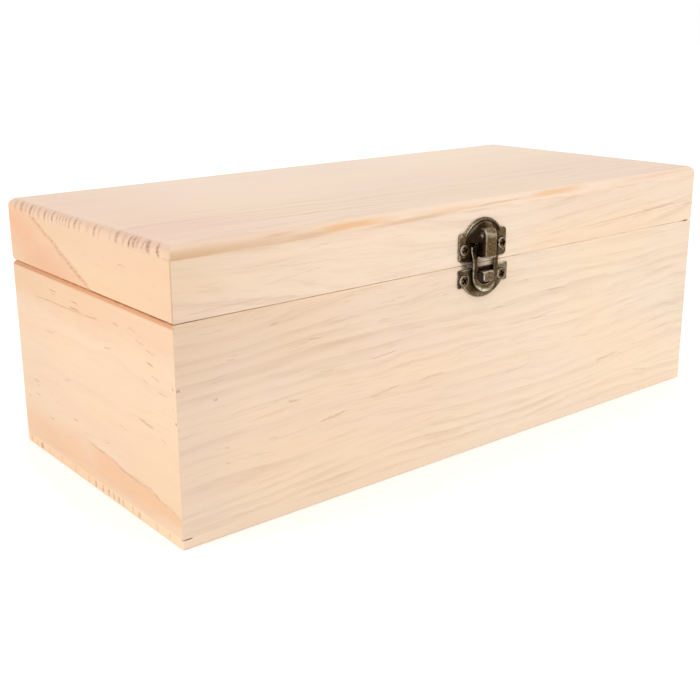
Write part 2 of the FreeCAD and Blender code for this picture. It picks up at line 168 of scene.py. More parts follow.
# ---------------------------------------------------------------------------
# Pine
# ---------------------------------------------------------------------------
# grain: the axis the grain runs along. width: the other axis of the shown face.
# strokes: dark pith flecks and growth lines, (g0, w0, g1, w1, half width, strength)
# in millimetres along the grain axis and the width axis.
def pine(name, grain, width, seed, base, warm, pink, *, ring=4.6, tilt=None,
         contrast=0.055, ring_lean=0.35, strokes=(), extra=None, end_dark=0.30,
         band_mask=None, fibre=0.030, flecks=0.35, end_ring=3.2, streaks=0.0,
         wander=(26.0, 6.5), painted_glow=None):
    mat, T, bsdf = new_material(name)
    tc = T.node("ShaderNodeTexCoord")
    sep = T.node("ShaderNodeSeparateXYZ")
    T.l.new(tc.outputs["Object"], sep.inputs[0])
    co = {a: T.mul(sep.outputs[i], 1000.0) for i, a in enumerate("XYZ")}
    nsep = T.node("ShaderNodeSeparateXYZ")
    T.l.new(tc.outputs["Normal"], nsep.inputs[0])
    nrm = {a: T.absf(nsep.outputs[i]) for i, a in enumerate("XYZ")}
    third = [a for a in "XYZ" if a not in (grain, width)][0]
    g, w, t = co[grain], co[width], co[third]
    endmask = T.step(nrm[grain], 0.55, 0.92)          # end grain shows here

    # slow wander of the growth rings along the grain
    slow = T.noise(T.xyz(T.mul(g, 0.0075), T.mul(w, 0.028), T.add(T.mul(t, 0.02), seed)),
                   1.0, 2.0, 0.5)
    wave = T.noise(T.xyz(T.mul(g, 0.034), T.mul(w, 0.055), T.add(T.mul(t, 0.03), seed + 7.3)),
                   1.0, 2.0, 0.45)
    field = T.add(w, T.mul(T.sub(slow, 0.5), wander[0]))
    field = T.add(field, T.mul(T.sub(wave, 0.5), wander[1]))
    field = T.add(field, T.mul(t, ring_lean))
    if tilt is not None:
        field = T.add(field, tilt(T, co))
    # uneven ring spacing
    uneven = T.noise(T.xyz(T.mul(field, 0.06), seed + 3.1, 0.0), 1.0, 1.0, 0.5)
    phase = T.div(T.add(field, T.mul(uneven, 16.0)), ring)
    saw = T.m("FRACT", phase)
    late = T.mul(T.step(saw, 0.20, 0.84), T.step(saw, 1.0, 0.86))
    # each ring has its own strength
    ringno = T.m("FLOOR", phase)
    wn = T.node("ShaderNodeTexWhiteNoise", noise_dimensions="1D")
    T.put(wn.inputs["W"], T.add(T.mul(ringno, 0.731), seed))
    strength = T.add(0.25, T.mul(wn.outputs[0], 0.75))
    patch = T.noise(T.xyz(T.mul(g, 0.016), T.mul(w, 0.05), seed + 11.0), 1.0, 2.0, 0.5)
    strength = T.mul(strength, T.step(patch, 0.30, 0.66, 0.25, 1.0))
    if band_mask is not None:
        strength = T.mul(strength, band_mask(T, co))
    bands = T.mul(late, strength)

    # finer lines between the rings
    fine = T.noise(T.xyz(T.mul(g, 0.030), T.mul(field, 1.15), T.add(T.mul(t, 0.8), seed)),
                   1.0, 3.0, 0.6)
    fine2 = T.noise(T.xyz(T.mul(g, 0.10), T.mul(w, 4.2), T.add(T.mul(t, 3.0), seed + 4.0)),
                    1.0, 2.0, 0.55)
    # short resin flecks along the grain
    fl = T.noise(T.xyz(T.mul(g, 0.12), T.mul(field, 1.35), T.add(T.mul(t, 1.2), seed + 21.0)),
                 1.0, 1.0, 0.4)
    flm = T.mul(T.step(fl, 0.68, 0.79),
                T.step(T.noise(T.xyz(T.mul(g, 0.012), T.mul(w, 0.04), seed + 33.0),
                               1.0, 1.0, 0.5), 0.42, 0.60, 0.15, 1.0))
    # soft streaks that come and go between the rings
    st1 = T.noise(T.xyz(T.mul(g, 0.031), T.mul(field, 0.42), T.add(T.mul(t, 0.4), seed + 61.0)),
                  1.0, 3.0, 0.55)
    st2 = T.noise(T.xyz(T.mul(g, 0.058), T.mul(field, 0.86), T.add(T.mul(t, 0.6), seed + 71.0)),
                  1.0, 2.0, 0.55)
    stm = T.add(T.mul(T.step(st1, 0.50, 0.74), 0.62), T.mul(T.step(st2, 0.54, 0.76), 0.55))

    # large soft changes of tone
    tone = T.noise(T.xyz(T.mul(g, 0.011), T.mul(w, 0.022), T.add(T.mul(t, 0.02), seed + 50.0)),
                   1.0, 3.0, 0.5)
    tone2 = T.noise(T.xyz(T.mul(g, 0.006), T.mul(w, 0.045), seed + 80.0), 1.0, 2.0, 0.5)

    col = T.mix(T.step(tone, 0.38, 0.66), base, warm)
    col = T.mix(T.mul(T.step(tone2, 0.48, 0.70), 0.6), col, pink)
    dark = T.mul(T.sub(fine, 0.5), fibre * 2.0)
    dark = T.add(dark, T.mul(T.sub(fine2, 0.5), fibre))
    dark = T.add(dark, T.mul(bands, contrast * 2.4))
    dark = T.add(dark, T.mul(stm, streaks))
    face_dark = T.add(dark, T.mul(flm, flecks * 0.5))

    # listed flecks and lines
    wob = T.mul(T.sub(T.noise(T.xyz(T.mul(g, 0.35), T.mul(w, 0.35), seed), 1.0, 2.0, 0.5),
                      0.5), 1.3)
    rough_edge = T.noise(T.xyz(T.mul(g, 1.1), T.mul(w, 2.5), seed + 2.0), 1.0, 2.0, 0.6)
    acc = None
    for g0, w0, g1, w1, hw, st in strokes:
        tt = T.m("MULTIPLY_ADD", g, 1.0 / (g1 - g0), -g0 / (g1 - g0), clamp=True)
        line = T.m("MULTIPLY_ADD", tt, w1 - w0, w0)
        d = T.absf(T.sub(T.add(w, wob), line))
        end = 0.14 * abs(g1 - g0) + 0.3
        mid, half = (g0 + g1) / 2, abs(g1 - g0) / 2
        along = T.step(T.absf(T.sub(g, mid)), half + end, half - end)
        s = T.mul(T.mul(T.step(d, hw, hw * 0.15), along), st)
        acc = s if acc is None else T.mx(acc, s)
    if acc is not None:
        acc = T.mul(acc, T.step(rough_edge, 0.28, 0.55, 0.45, 1.0))
        face_dark = T.add(face_dark, acc)
    face_dark = T.mx(face_dark, -0.06)
    brown = (0.56, 0.42, 0.31, 1.0)
    faces = T.mix(face_dark, col, T.mix(1.0, col, brown, "MULTIPLY"))

    # end grain: darker, with the rings cut across as short arcs
    efield = T.add(w, T.mul(T.sub(T.noise(T.xyz(T.mul(t, 0.09), T.mul(w, 0.05), seed + 5.0),
                                          1.0, 2.0, 0.5), 0.5), 9.0))
    efield = T.add(efield, T.mul(t, 0.45))
    esaw = T.m("FRACT", T.div(efield, end_ring))
    elate = T.mul(T.step(esaw, 0.30, 0.80), T.step(esaw, 1.0, 0.86))
    en = T.node("ShaderNodeTexWhiteNoise", noise_dimensions="1D")
    T.put(en.inputs["W"], T.add(T.m("FLOOR", T.div(efield, end_ring)), seed))
    elate = T.mul(elate, T.step(en.outputs[0], 0.25, 0.8))
    pores = T.noise(T.xyz(T.mul(w, 2.2), T.mul(t, 2.2), seed), 1.0, 2.0, 0.6)
    edark = T.add(T.mul(elate, end_dark * 1.5), T.mul(T.sub(pores, 0.45), 0.14))
    ends = T.mix(T.mx(edark, 0.0), T.mix(0.35, col, warm), (0.33, 0.235, 0.145, 1.0))
    colour = T.mix(endmask, faces, ends)
    if extra is not None:
        colour = extra(T, co, nrm, colour)
    T.put(bsdf.inputs["Base Color"], colour)
    # Painted light: an optional glow, given as emission.
    if painted_glow is not None:
        tint, amount = painted_glow(T, co, nrm)
        T.put(bsdf.inputs["Emission Color"], tint)
        T.put(bsdf.inputs["Emission Strength"], amount)
    bsdf.inputs["IOR"].default_value = 1.45
    bsdf.inputs["Specular IOR Level"].default_value = 0.16
    rough = T.add(0.56, T.mul(T.sub(fine2, 0.5), 0.20))
    T.put(bsdf.inputs["Roughness"], T.add(rough, T.mul(endmask, 0.14)))
    bump = T.node("ShaderNodeBump")
    bump.inputs["Strength"].default_value = 0.10
    bump.inputs["Distance"].default_value = 0.0002
    height = T.sub(T.add(T.mul(fine2, 0.6), T.mul(fine, 0.4)), T.mul(bands, 0.5))
    T.put(bump.inputs["Height"], height)
    T.l.new(bump.outputs[0], bsdf.inputs["Normal"])
    return mat


BASE = rgb(236, 211, 184)
WARM = rgb(240, 211, 178)
PINK = rgb(236, 208, 184)


def px(x):
    """Millimetres from the left end of the front to X."""
    return x - LENGTH / 2


def front_strokes(rows, face_top=TOP_Z):
    """Rows are (left mm, height below the lid's top, right mm, height, half width, strength)."""
    return [(px(a), face_top - b, px(c), face_top - d, e * 1.15, min(f * 1.45, 0.75))
            for a, b, c, d, e, f in rows]


# --- front wall -------------------------------------------------------------
FRONT_ROWS = [
    (9.5, 31.0, 15.5, 31.4, 0.35, 0.10), (90, 34.2, 97, 33.6, 0.45, 0.17),
    (66, 37.2, 80, 36.9, 0.45, 0.12), (55.5, 41.6, 61, 42.0, 0.40, 0.22),
    (47, 43.4, 55, 42.4, 0.35, 0.14), (88.5, 41.0, 94.5, 40.6, 0.35, 0.16),
    (20.5, 42.2, 23.5, 42.3, 0.40, 0.20), (46, 63.0, 50.5, 63.5, 0.55, 0.30),
    (14.6, 55.0, 16.2, 55.2, 0.55, 0.36), (85.5, 55.0, 97, 54.3, 0.50, 0.26),
    (61, 55.2, 67, 55.4, 0.30, 0.14), (111, 69.2, 123, 68.5, 0.45, 0.20),
    (85, 70.3, 99, 68.8, 0.60, 0.20), (61, 74.4, 73, 72.8, 0.60, 0.26),
    (18.4, 73.6, 20.0, 73.7, 0.50, 0.26), (18.6, 79.5, 20.4, 79.6, 0.50, 0.22),
    (37, 75.0, 40.5, 75.2, 0.40, 0.18), (175, 55.4, 187, 56.2, 0.45, 0.16),
    (223, 84.2, 238, 83.0, 0.60, 0.22), (186, 44.3, 197, 45.0, 0.40, 0.15),
    (203, 69.0, 215, 70.2, 0.40, 0.15), (252, 95.0, 262, 96.4, 0.70, 0.16),
    (151, 47.3, 157, 46.6, 0.40, 0.15), (131, 62.4, 146, 61.0, 0.45, 0.13),
    (240, 61.0, 256, 60.2, 0.45, 0.12), (160, 77.0, 176, 75.8, 0.45, 0.13),
    (262, 72.2, 276, 71.4, 0.40, 0.12), (205, 92.0, 221, 91.0, 0.45, 0.12),
    (30, 66.5, 44, 65.4, 0.30, 0.12), (102, 88.0, 118, 86.8, 0.45, 0.12),
    (0.2, 49.0, 1.6, 49.0, 0.6, 0.45),
]


def front_tilt(T, co):
    """The grain rises a little to the right and dips in the middle."""
    x = co["X"]
    return T.add(T.mul(x, -0.018), T.mul(T.m("SINE", T.mul(x, 0.030)), 1.1))


def front_painted_light(T, co, colour):
    """Painted light: the front is a little cooler at its left end and paler at its right, lighter low down,
    with small shifts of tone across it, as the light falls on it.
    """
    x = co["X"]
    g = T.mix(T.step(x, -145.0, 105.0, smooth=False), (0.918, 0.925, 0.958, 1.0),
              (1.030, 1.078, 1.150, 1.0))
    colour = T.mix(1.0, colour, g, "MULTIPLY")
    end = T.mix(T.step(x, -146.0, -112.0), (0.955, 0.948, 0.935, 1.0), (1.0, 1.0, 1.0, 1.0))
    colour = T.mix(1.0, colour, end, "MULTIPLY")
    mid = T.step(T.absf(T.sub(x, 30.0)), 75.0, 5.0)
    colour = T.mix(T.mul(mid, 1.0), colour, T.mix(1.0, colour, (0.992, 1.016, 1.050, 1.0), "MULTIPLY"))
    far = T.step(x, 55.0, 115.0)
    colour = T.mix(far, colour, T.mix(1.0, colour, (0.985, 0.985, 0.985, 1.0), "MULTIPLY"))
    low = T.step(co["Z"], 34.0, 2.0)
    colour = T.mix(low, colour, T.mix(1.0, colour, (1.028, 1.062, 1.095, 1.0), "MULTIPLY"))
    lid = T.step(co["Z"], SEAM_Z - 0.1, SEAM_Z + 0.1)
    high = T.mul(T.step(co["Z"], 44.0, 66.0), T.inv(lid))
    g = T.mix(T.step(x, -112.0, -55.0), (0.948, 0.930, 0.925, 1.0), (0.998, 0.990, 0.962, 1.0))
    colour = T.mix(high, colour, T.mix(1.0, colour, g, "MULTIPLY"))
    g = T.mix(T.step(x, -145.0, -60.0), (0.985, 0.992, 0.998, 1.0), (1.034, 1.036, 1.036, 1.0))
    g = T.mix(T.step(x, 0.0, 45.0), g, (0.988, 0.958, 0.905, 1.0))
    g = T.mix(T.step(x, 85.0, 130.0), g, (1.0, 0.985, 0.970, 1.0))
    return T.mix(lid, colour, T.mix(1.0, colour, g, "MULTIPLY"))


def latch_painted_shade(T, co, colour):
    """Painted shade on the wood seen between the two plates of the latch, darkest beside the ring and in its
    window.
    """
    u, dz = T.sub(co["X"], CATCH_X), T.sub(co["Z"], SEAM_Z)
    face = T.step(co["Y"], FRONT + 0.6, FRONT + 0.3)
    wob = T.noise(T.xyz(T.mul(u, 0.7), T.mul(dz, 1.3), 2.0), 1.0, 2.0, 0.6)
    band = T.mul(T.step(T.absf(T.add(dz, 0.25)), 3.0, 1.7), face)
    left = T.mul(T.step(u, -13.2, -10.2), T.step(u, -5.6, -6.8))
    left = T.mul(left, T.step(wob, 0.30, 0.62, 1.0, 0.72))
    colour = T.mix(T.mul(T.mul(left, band), 0.98), colour, rgb(50, 32, 22))
    win = T.mul(T.step(u, 2.6, -4.5), T.step(u, -6.9, -5.9))
    colour = T.mix(T.mul(T.mul(win, band), 0.90), colour, rgb(100, 78, 58))
    right = T.mul(T.step(u, 5.0, 6.4), T.step(u, 11.5, 8.5))
    return T.mix(T.mul(T.mul(right, band), 0.30), colour, rgb(150, 112, 84))


def front_extra(T, co, nrm, colour):
    x, y, z = co["X"], co["Y"], co["Z"]
    colour = front_painted_light(T, co, colour)
    # mitre at the left corner; painted shade on the rims along the seam, browner at the left end
    line = T.mul(T.step(x, -144.35, -144.75), T.step(nrm["Y"], 0.2, 0.6))
    line = T.mul(line, T.step(z, SEAM_Z - 4.0, SEAM_Z, 0.30, 1.0))
    colour = T.mix(T.mul(line, 0.50), colour, rgb(172, 118, 82))
    outer = T.step(y, FRONT + 1.3, FRONT + 0.6)
    rim = T.mul(T.step(T.absf(T.sub(z, SEAM_Z)), 0.40, 0.20), T.step(nrm["Z"], 0.25, 0.6))
    rim = T.mul(T.mul(rim, outer), T.step(T.absf(T.sub(x, CATCH_X)), 8.0, 14.0))
    rim = T.mul(rim, T.step(T.noise(T.xyz(T.mul(x, 0.12), T.mul(y, 0.2), T.mul(z, 0.2)),
                                    1.0, 3.0, 0.6), 0.32, 0.62, 0.45, 1.0))
    colour = T.mix(T.mul(rim, T.step(x, -145.0, 60.0, 0.80, 0.20)), colour, rgb(164, 112, 76))
    spot = T.mul(T.step(T.absf(T.sub(x, px(284.6))), 2.0, 0.8),
                 T.step(T.absf(T.sub(z, SEAM_Z)), 0.55, 0.30))
    colour = T.mix(T.mul(T.mul(spot, outer), 0.62), colour, rgb(120, 72, 50))
    return latch_painted_shade(T, co, colour)


def front_seam_painted_light(T, co, nrm):
    """Painted light: a faint warm glow on the outer edge of the seam, lightening the shade in it."""
    x, y, z = co["X"], co["Y"], co["Z"]
    m = T.mul(T.step(T.absf(T.sub(z, SEAM_Z)), 0.40, 0.30), T.step(nrm["Z"], 0.5, 0.8))
    m = T.mul(m, T.step(y, FRONT + 1.3, FRONT + 0.7))
    m = T.mul(m, T.mul(T.step(x, -142.0, -122.0), T.step(x, px(285.5), px(278.0))))
    m = T.mul(m, T.step(T.absf(T.sub(x, CATCH_X)), 11.0, 16.0))
    drift = T.noise(T.xyz(T.mul(x, 0.045), 3.0, 0.0), 1.0, 3.0, 0.6)
    m = T.mul(m, T.step(drift, 0.34, 0.62, 0.40, 1.0))
    tint = T.mix(T.step(x, -70.0, 90.0), (0.74, 0.58, 0.40, 1.0), (0.84, 0.76, 0.60, 1.0))
    return tint, T.mul(m, 0.30)


def left_seam_painted_light(T, co, nrm):
    # Painted light: a warm glow on the rim tops in the seam at the left end, a little stronger towards the
    # back.
    x, z = co["X"], co["Z"]
    m = T.mul(T.step(T.absf(T.sub(z, SEAM_Z)), 0.50, 0.36), T.step(nrm["Z"], 0.75, 0.95))
    m = T.mul(m, T.step(x, -141.6, -142.2))
    return (0.80, 0.44, 0.14, 1.0), T.mul(m, T.step(co["Y"], -60.0, 20.0, 0.08, 0.15))


def front_wall_extra(T, co, nrm, colour):
    """Painted shade on the wood behind the opening of the catch plate."""
    x, z = co["X"], co["Z"]
    face = T.step(co["Y"], FRONT + 0.6, FRONT + 0.3)
    hole = T.mul(T.step(T.absf(T.sub(x, CATCH_X)), 4.2, 3.0),
                 T.step(T.absf(T.sub(z, SEAM_Z - 6.75)), 4.0, 3.0))
    colour = front_extra(T, co, nrm, colour)
    return T.mix(T.mul(T.mul(hole, face), 0.96), colour, rgb(58, 36, 20))


# --- lid front rail ---------------------------------------------------------
RAIL_ROWS = [
    (43, 12.8, 63, 13.8, 0.30, 0.16), (4, 23.6, 40, 22.6, 0.45, 0.12),
    (38, 18.4, 62, 15.6, 0.30, 0.13), (56, 8.2, 66, 7.2, 0.30, 0.14),
    (150, 19.8, 205, 17.0, 0.5, 0.08), (206, 19.8, 288, 16.0, 0.45, 0.24),
    (262, 19.0, 288, 17.4, 0.5, 0.12), (30, 11.4, 47, 10.9, 0.35, 0.10),
    (196, 13.0, 246, 10.0, 0.7, 0.07), (222, 16.0, 288, 12.2, 0.8, 0.08),
    (92, 21.0, 120, 20.2, 0.35, 0.09),
]


def rail_tilt(T, co):
    """Rises to the left at the left end and sweeps up to the right."""
    x = co["X"]
    left = T.mul(T.m("POWER", T.step(x, -60.0, -150.0, smooth=False), 1.6), 7.0)
    right = T.mul(T.m("POWER", T.step(x, 20.0, 150.0, smooth=False), 1.3), -13.0)
    return T.add(T.mul(left, -1.0), right)


# --- left wall: grain along Y, y runs from +65.75 (back, left in the picture) ---
def ly(mm_from_back):
    return DEPTH / 2 - mm_from_back


def left_strokes(rows):
    out = []
    for a, b, c, d, e, f in rows:
        k = 0.17 if abs(c - a) < 20 else 0.0      # the short ones a little shorter
        a, b, c, d = a + (c - a) * k, b + (d - b) * k, c - (c - a) * k, d - (d - b) * k
        f = f * (2.05 if k else 1.5)
        out.append((ly(a), TOP_Z - b, ly(c), TOP_Z - d, e * 1.40, min(f, 0.90)))
    return out


LEFT_ROWS = [
    (34, 32.0, 43, 32.6, 0.30, 0.36), (36, 33.6, 41.5, 34.0, 0.26, 0.24),
    (53, 33.0, 62, 33.6, 0.30, 0.34), (52, 35.6, 63, 36.2, 0.30, 0.36),
    (23, 37.6, 64, 36.6, 0.36, 0.30), (63, 36.8, 79, 35.8, 0.30, 0.22),
    (80, 45.6, 87, 45.0, 0.34, 0.24), (88, 34.5, 94, 34.8, 0.30, 0.26),
    (112, 43.2, 118, 43.8, 0.42, 0.34), (111, 39.0, 120, 39.4, 0.34, 0.20),
    (103, 66.0, 117, 67.2, 0.55, 0.24), (119, 69.2, 125, 69.9, 0.40, 0.18),
    (12, 75.6, 18.5, 75.4, 0.46, 0.26), (14, 77.2, 18, 77.4, 0.34, 0.18),
    (13, 81.8, 18.5, 81.6, 0.34, 0.24), (25, 89.2, 31.5, 88.2, 0.42, 0.24),
    (48, 82.4, 54.5, 82.6, 0.42, 0.20), (69, 89.2, 76.5, 89.0, 0.42, 0.26),
    (76, 84.2, 81, 83.6, 0.34, 0.16), (66, 88.8, 131.5, 94.6, 0.55, 0.20),
    (104, 37.0, 113, 37.5, 0.30, 0.20), (114, 47.5, 122, 48.2, 0.32, 0.20),
    (108, 50.5, 114, 50.9, 0.28, 0.16), (99, 33.4, 107, 33.9, 0.28, 0.16),
    (88, 73.0, 96, 74.0, 0.34, 0.14), (33, 71.0, 38, 71.4, 0.30, 0.16),
    (5, 84.4, 9, 84.2, 0.34, 0.18), (42, 68.0, 50, 66.6, 0.42, 0.14),
    (27, 51.0, 38, 50.0, 0.42, 0.14), (118, 52.6, 127, 52.2, 0.40, 0.12),
    (129.2, 48.6, 130.2, 48.7, 0.50, 0.60), (128.6, 55.6, 129.8, 55.6, 0.30, 0.25),
    (130.2, 60.4, 131.3, 60.5, 0.50, 0.50),
    (20, 101.0, 58, 99.0, 0.8, 0.07), (60, 98.0, 110, 101.0, 0.8, 0.07),
]


def left_tilt(T, co):
    y, z = co["Y"], co["Z"]
    low = T.step(z, 40.0, 5.0)
    return T.mul(T.mul(y, 0.14), low)


def rim_shade(T, co, colour, side, r=2.1):
    """Painted shade on the eased outer edge of a rim at the left or right end, and at the left also on the rim
    inside the seam: darker, browner.
    """
    x = co["X"] if side < 0 else T.mul(co["X"], -1.0)
    z = co["Z"]
    near = T.mul(T.step(z, SEAM_Z - r - 0.1, SEAM_Z - r * 0.55), T.step(x, -144.2, -144.95))
    tone = T.mix(T.step(co["Y"], -20.0, 55.0), rgb(214, 148, 98), rgb(196, 130, 84))
    if side > 0:
        return T.mix(T.mul(near, 0.45), colour, tone)
    colour = T.mix(T.mul(near, 0.85), colour, tone)
    wob = T.noise(T.xyz(T.mul(co["Y"], 0.16), T.mul(z, 0.3), 6.0), 1.0, 3.0, 0.6)
    line = T.mul(T.step(z, SEAM_Z - 0.75, SEAM_Z - 0.25), T.step(x, -142.9, -143.7))
    line = T.mul(line, T.step(wob, 0.34, 0.60, 0.40, 1.0))
    line = T.mul(line, T.step(co["Y"], 50.0, 5.0, 0.45, 1.0))
    colour = T.mix(T.mul(line, 0.80), colour, rgb(170, 92, 48))
    lip = T.mul(T.step(z, SEAM_Z - 0.30, SEAM_Z - 0.08), T.step(x, -141.6, -142.2))
    return T.mix(T.mul(lip, 0.88), colour, rgb(196, 124, 70))


def left_extra(T, co, nrm, colour):
    y, z = co["Y"], co["Z"]
    wob = T.noise(T.xyz(T.mul(y, 0.05), T.mul(z, 0.10), 4.0), 1.0, 3.0, 0.55)
    # orange heartwood along the foot, with a line over its front half
    edge = T.add(T.mul(T.mx(T.add(y, 2.0), -200.0), 0.085), T.mul(T.sub(wob, 0.5), 9.0))
    d = T.sub(z, T.add(edge, 17.5))
    soft = T.step(d, 2.0, -12.0)
    crisp = T.mul(T.step(d, 0.8, -0.8), T.step(y, 12.0, -8.0))
    foot = T.mx(T.mul(soft, T.step(y, 30.0, 62.0, 0.72, 0.50)), T.mul(crisp, 0.74))
    # the band is deepest just under the line and pales towards the front corner
    q = T.div(d, T.add(3.6, T.mul(T.add(y, 66.0), 0.095)))
    foot = T.mul(foot, T.step(T.add(q, T.mul(T.sub(wob, 0.5), 0.9)), -1.7, -0.6, 0.16, 1.0))
    colour = T.mix(foot, colour, rgb(231, 187, 146))
    pale = T.mul(T.mul(T.step(y, -12.0, -48.0), T.step(z, 44.0, 28.0)), T.step(d, -0.4, 1.0))
    colour = T.mix(T.mul(pale, 0.42), colour, rgb(236, 205, 166))
    growth = T.mul(T.step(T.absf(T.sub(d, 0.2)), 0.75, 0.1), T.step(y, 14.0, -2.0))
    growth = T.mul(growth, T.step(T.noise(T.xyz(T.mul(y, 0.4), T.mul(z, 0.6), 14.0),
                                          1.0, 3.0, 0.65), 0.36, 0.62, 0.25, 1.0))
    colour = T.mix(T.mul(growth, 0.34), colour, rgb(184, 128, 92))
    # orange band under the rim towards the back
    band = T.mul(T.step(T.absf(T.sub(z, T.add(57.0, T.mul(T.sub(wob, 0.5), 16.0)))), 9.0, 2.0),
                 T.step(y, -15.0, 50.0))
    colour = T.mix(T.mul(band, 0.15), colour, rgb(236, 184, 140))
    # Painted light: the upper part of the face is a little darker and warmer, the whole face a little darker,
    # and both more so towards the back.
    top = T.step(T.add(z, T.mul(T.sub(wob, 0.5), 14.0)), 61.0, 73.0)
    g = T.mix(T.step(y, -45.0, 10.0), (0.990, 0.940, 0.865, 1.0), (0.965, 0.880, 0.770, 1.0))
    colour = T.mix(top, colour, T.mix(1.0, colour, g, "MULTIPLY"))
    g = T.mix(T.step(y, 10.0, 55.0), (0.990, 0.972, 0.978, 1.0), (0.955, 0.940, 0.950, 1.0))
    colour = T.mix(1.0, colour, g, "MULTIPLY")
    return rim_shade(T, co, colour, -1)


def right_extra(T, co, nrm, colour):
    return rim_shade(T, co, colour, 1)


# --- lid left rail: diagonal growth line ------------------------------------
def heart_line(T, co):
    """Signed distance, about, to the growth line across the lid's left end."""
    y, z = co["Y"], co["Z"]
    wob = T.noise(T.xyz(T.mul(y, 0.09), T.mul(z, 0.12), 1.5), 1.0, 3.0, 0.6)
    # back 23 mm, 4.5 down -> 72 mm, 25 down
    line = T.add(T.mul(T.sub(DEPTH / 2 - 22.0, y), -0.43), TOP_Z - 4.0)
    return T.add(T.sub(z, line), T.mul(T.sub(wob, 0.5), 4.0))


def heart_zone(T, co, colour, mask=1.0):
    y, z = co["Y"], co["Z"]
    d = heart_line(T, co)
    under = T.step(d, 2.4, -1.0)
    deep = T.step(d, 0.6, -14.0, 0.55, 0.95)
    blotch = T.noise(T.xyz(T.mul(y, 0.06), T.mul(z, 0.10), 12.0), 1.0, 2.0, 0.5)
    zone = T.mul(T.mul(under, deep), T.step(blotch, 0.30, 0.62, 0.62, 1.0))
    heel = T.mul(T.step(y, 44.0, 62.0), T.step(z, 94.0, 84.0))
    zone = T.mul(zone, T.sub(1.0, T.mul(heel, 0.85)))
    return T.mix(T.mul(T.mul(zone, 0.80), mask), colour, rgb(230, 174, 135))


def lid_left_extra(T, co, nrm, colour):
    y, z = co["Y"], co["Z"]
    colour = heart_zone(T, co, colour)
    d = heart_line(T, co)
    ragged = T.noise(T.xyz(T.mul(y, 0.55), T.mul(z, 0.9), 3.0), 1.0, 4.0, 0.7)
    drift = T.mul(T.sub(T.noise(T.xyz(T.mul(y, 0.9), T.mul(z, 0.5), 8.0), 1.0, 2.0, 0.6), 0.5), 1.8)
    mark = T.mul(T.step(T.absf(T.add(d, drift)), 1.25, 0.25),
                 T.step(ragged, 0.44, 0.60, 0.06, 1.0))
    mark = T.mul(mark, T.step(y, -14.0, 2.0))
    halo = T.mul(T.step(T.absf(d), 2.2, 0.2), T.step(y, -14.0, 2.0))
    colour = T.mix(T.mul(halo, 0.14), colour, rgb(196, 140, 100))
    colour = T.mix(T.mul(mark, 0.55), colour, rgb(176, 118, 80))
    corner = T.mul(T.step(y, FRONT + 0.55, FRONT + 0.2), T.step(nrm["X"], 0.2, 0.6))
    colour = T.mix(T.mul(corner, 0.30), colour, rgb(170, 112, 76))
    # painted shade along the rim over the seam
    edge = T.mul(T.step(z, SEAM_Z + 0.60, SEAM_Z + 0.2), T.step(co["X"], -143.4, -144.2))
    edge = T.mul(edge, T.step(y, 55.0, 20.0, 0.4, 1.0))
    colour = T.mix(T.mul(edge, 0.60), colour, rgb(180, 104, 58))
    # Painted light: a little darker towards the back.
    g = T.mix(T.step(y, -20.0, 50.0), (0.985, 0.990, 0.992, 1.0), (0.965, 0.960, 0.965, 1.0))
    colour = T.mix(1.0, colour, g, "MULTIPLY")
    # Painted shade: warm brown on the rail's underside at its outer edge, in the seam.
    lip = T.mul(T.step(z, SEAM_Z + 0.55, SEAM_Z + 0.38), T.step(co["X"], -141.6, -142.2))
    return T.mix(T.mul(lip, 0.88), colour, rgb(196, 124, 70))


def lid_right_extra(T, co, nrm, colour):
    # Painted shade along the rail's lower edge over the seam.
    edge = T.mul(T.step(co["Z"], SEAM_Z + 0.75, SEAM_Z + 0.2), T.step(co["X"], 143.4, 144.2))
    return T.mix(T.mul(edge, 0.35), colour, rgb(176, 112, 68))


# --- lid top board ----------------------------------------------------------
TOP_ROWS = [
    (px(10), -60.4, px(110), -59.4, 0.8, 0.13), (px(0), -56.5, px(140), -57.6, 0.7, 0.11),
    (px(60), -52.5, px(190), -54.0, 0.7, 0.10), (px(5), -47.0, px(120), -48.0, 0.7, 0.10),
    (px(110), -49.5, px(230), -51.0, 0.7, 0.10), (px(150), -58.4, px(285), -59.6, 0.8, 0.12),
    (px(70), -22.0, px(280), -24.0, 0.9, 0.08), (px(10), -27.5, px(100), -26.0, 0.7, 0.07),
    (px(14), 5.0, px(60), 6.0, 0.8, 0.06), (px(150), -40.0, px(280), -42.0, 0.7, 0.08),
    (px(0), -40.5, px(60), -41.5, 0.6, 0.09), (px(20), -35.5, px(90), -36.5, 0.6, 0.07),
    (px(200), -46.0, px(290), -47.5, 0.6, 0.08), (px(90), -44.0, px(170), -45.0, 0.6, 0.07),
]

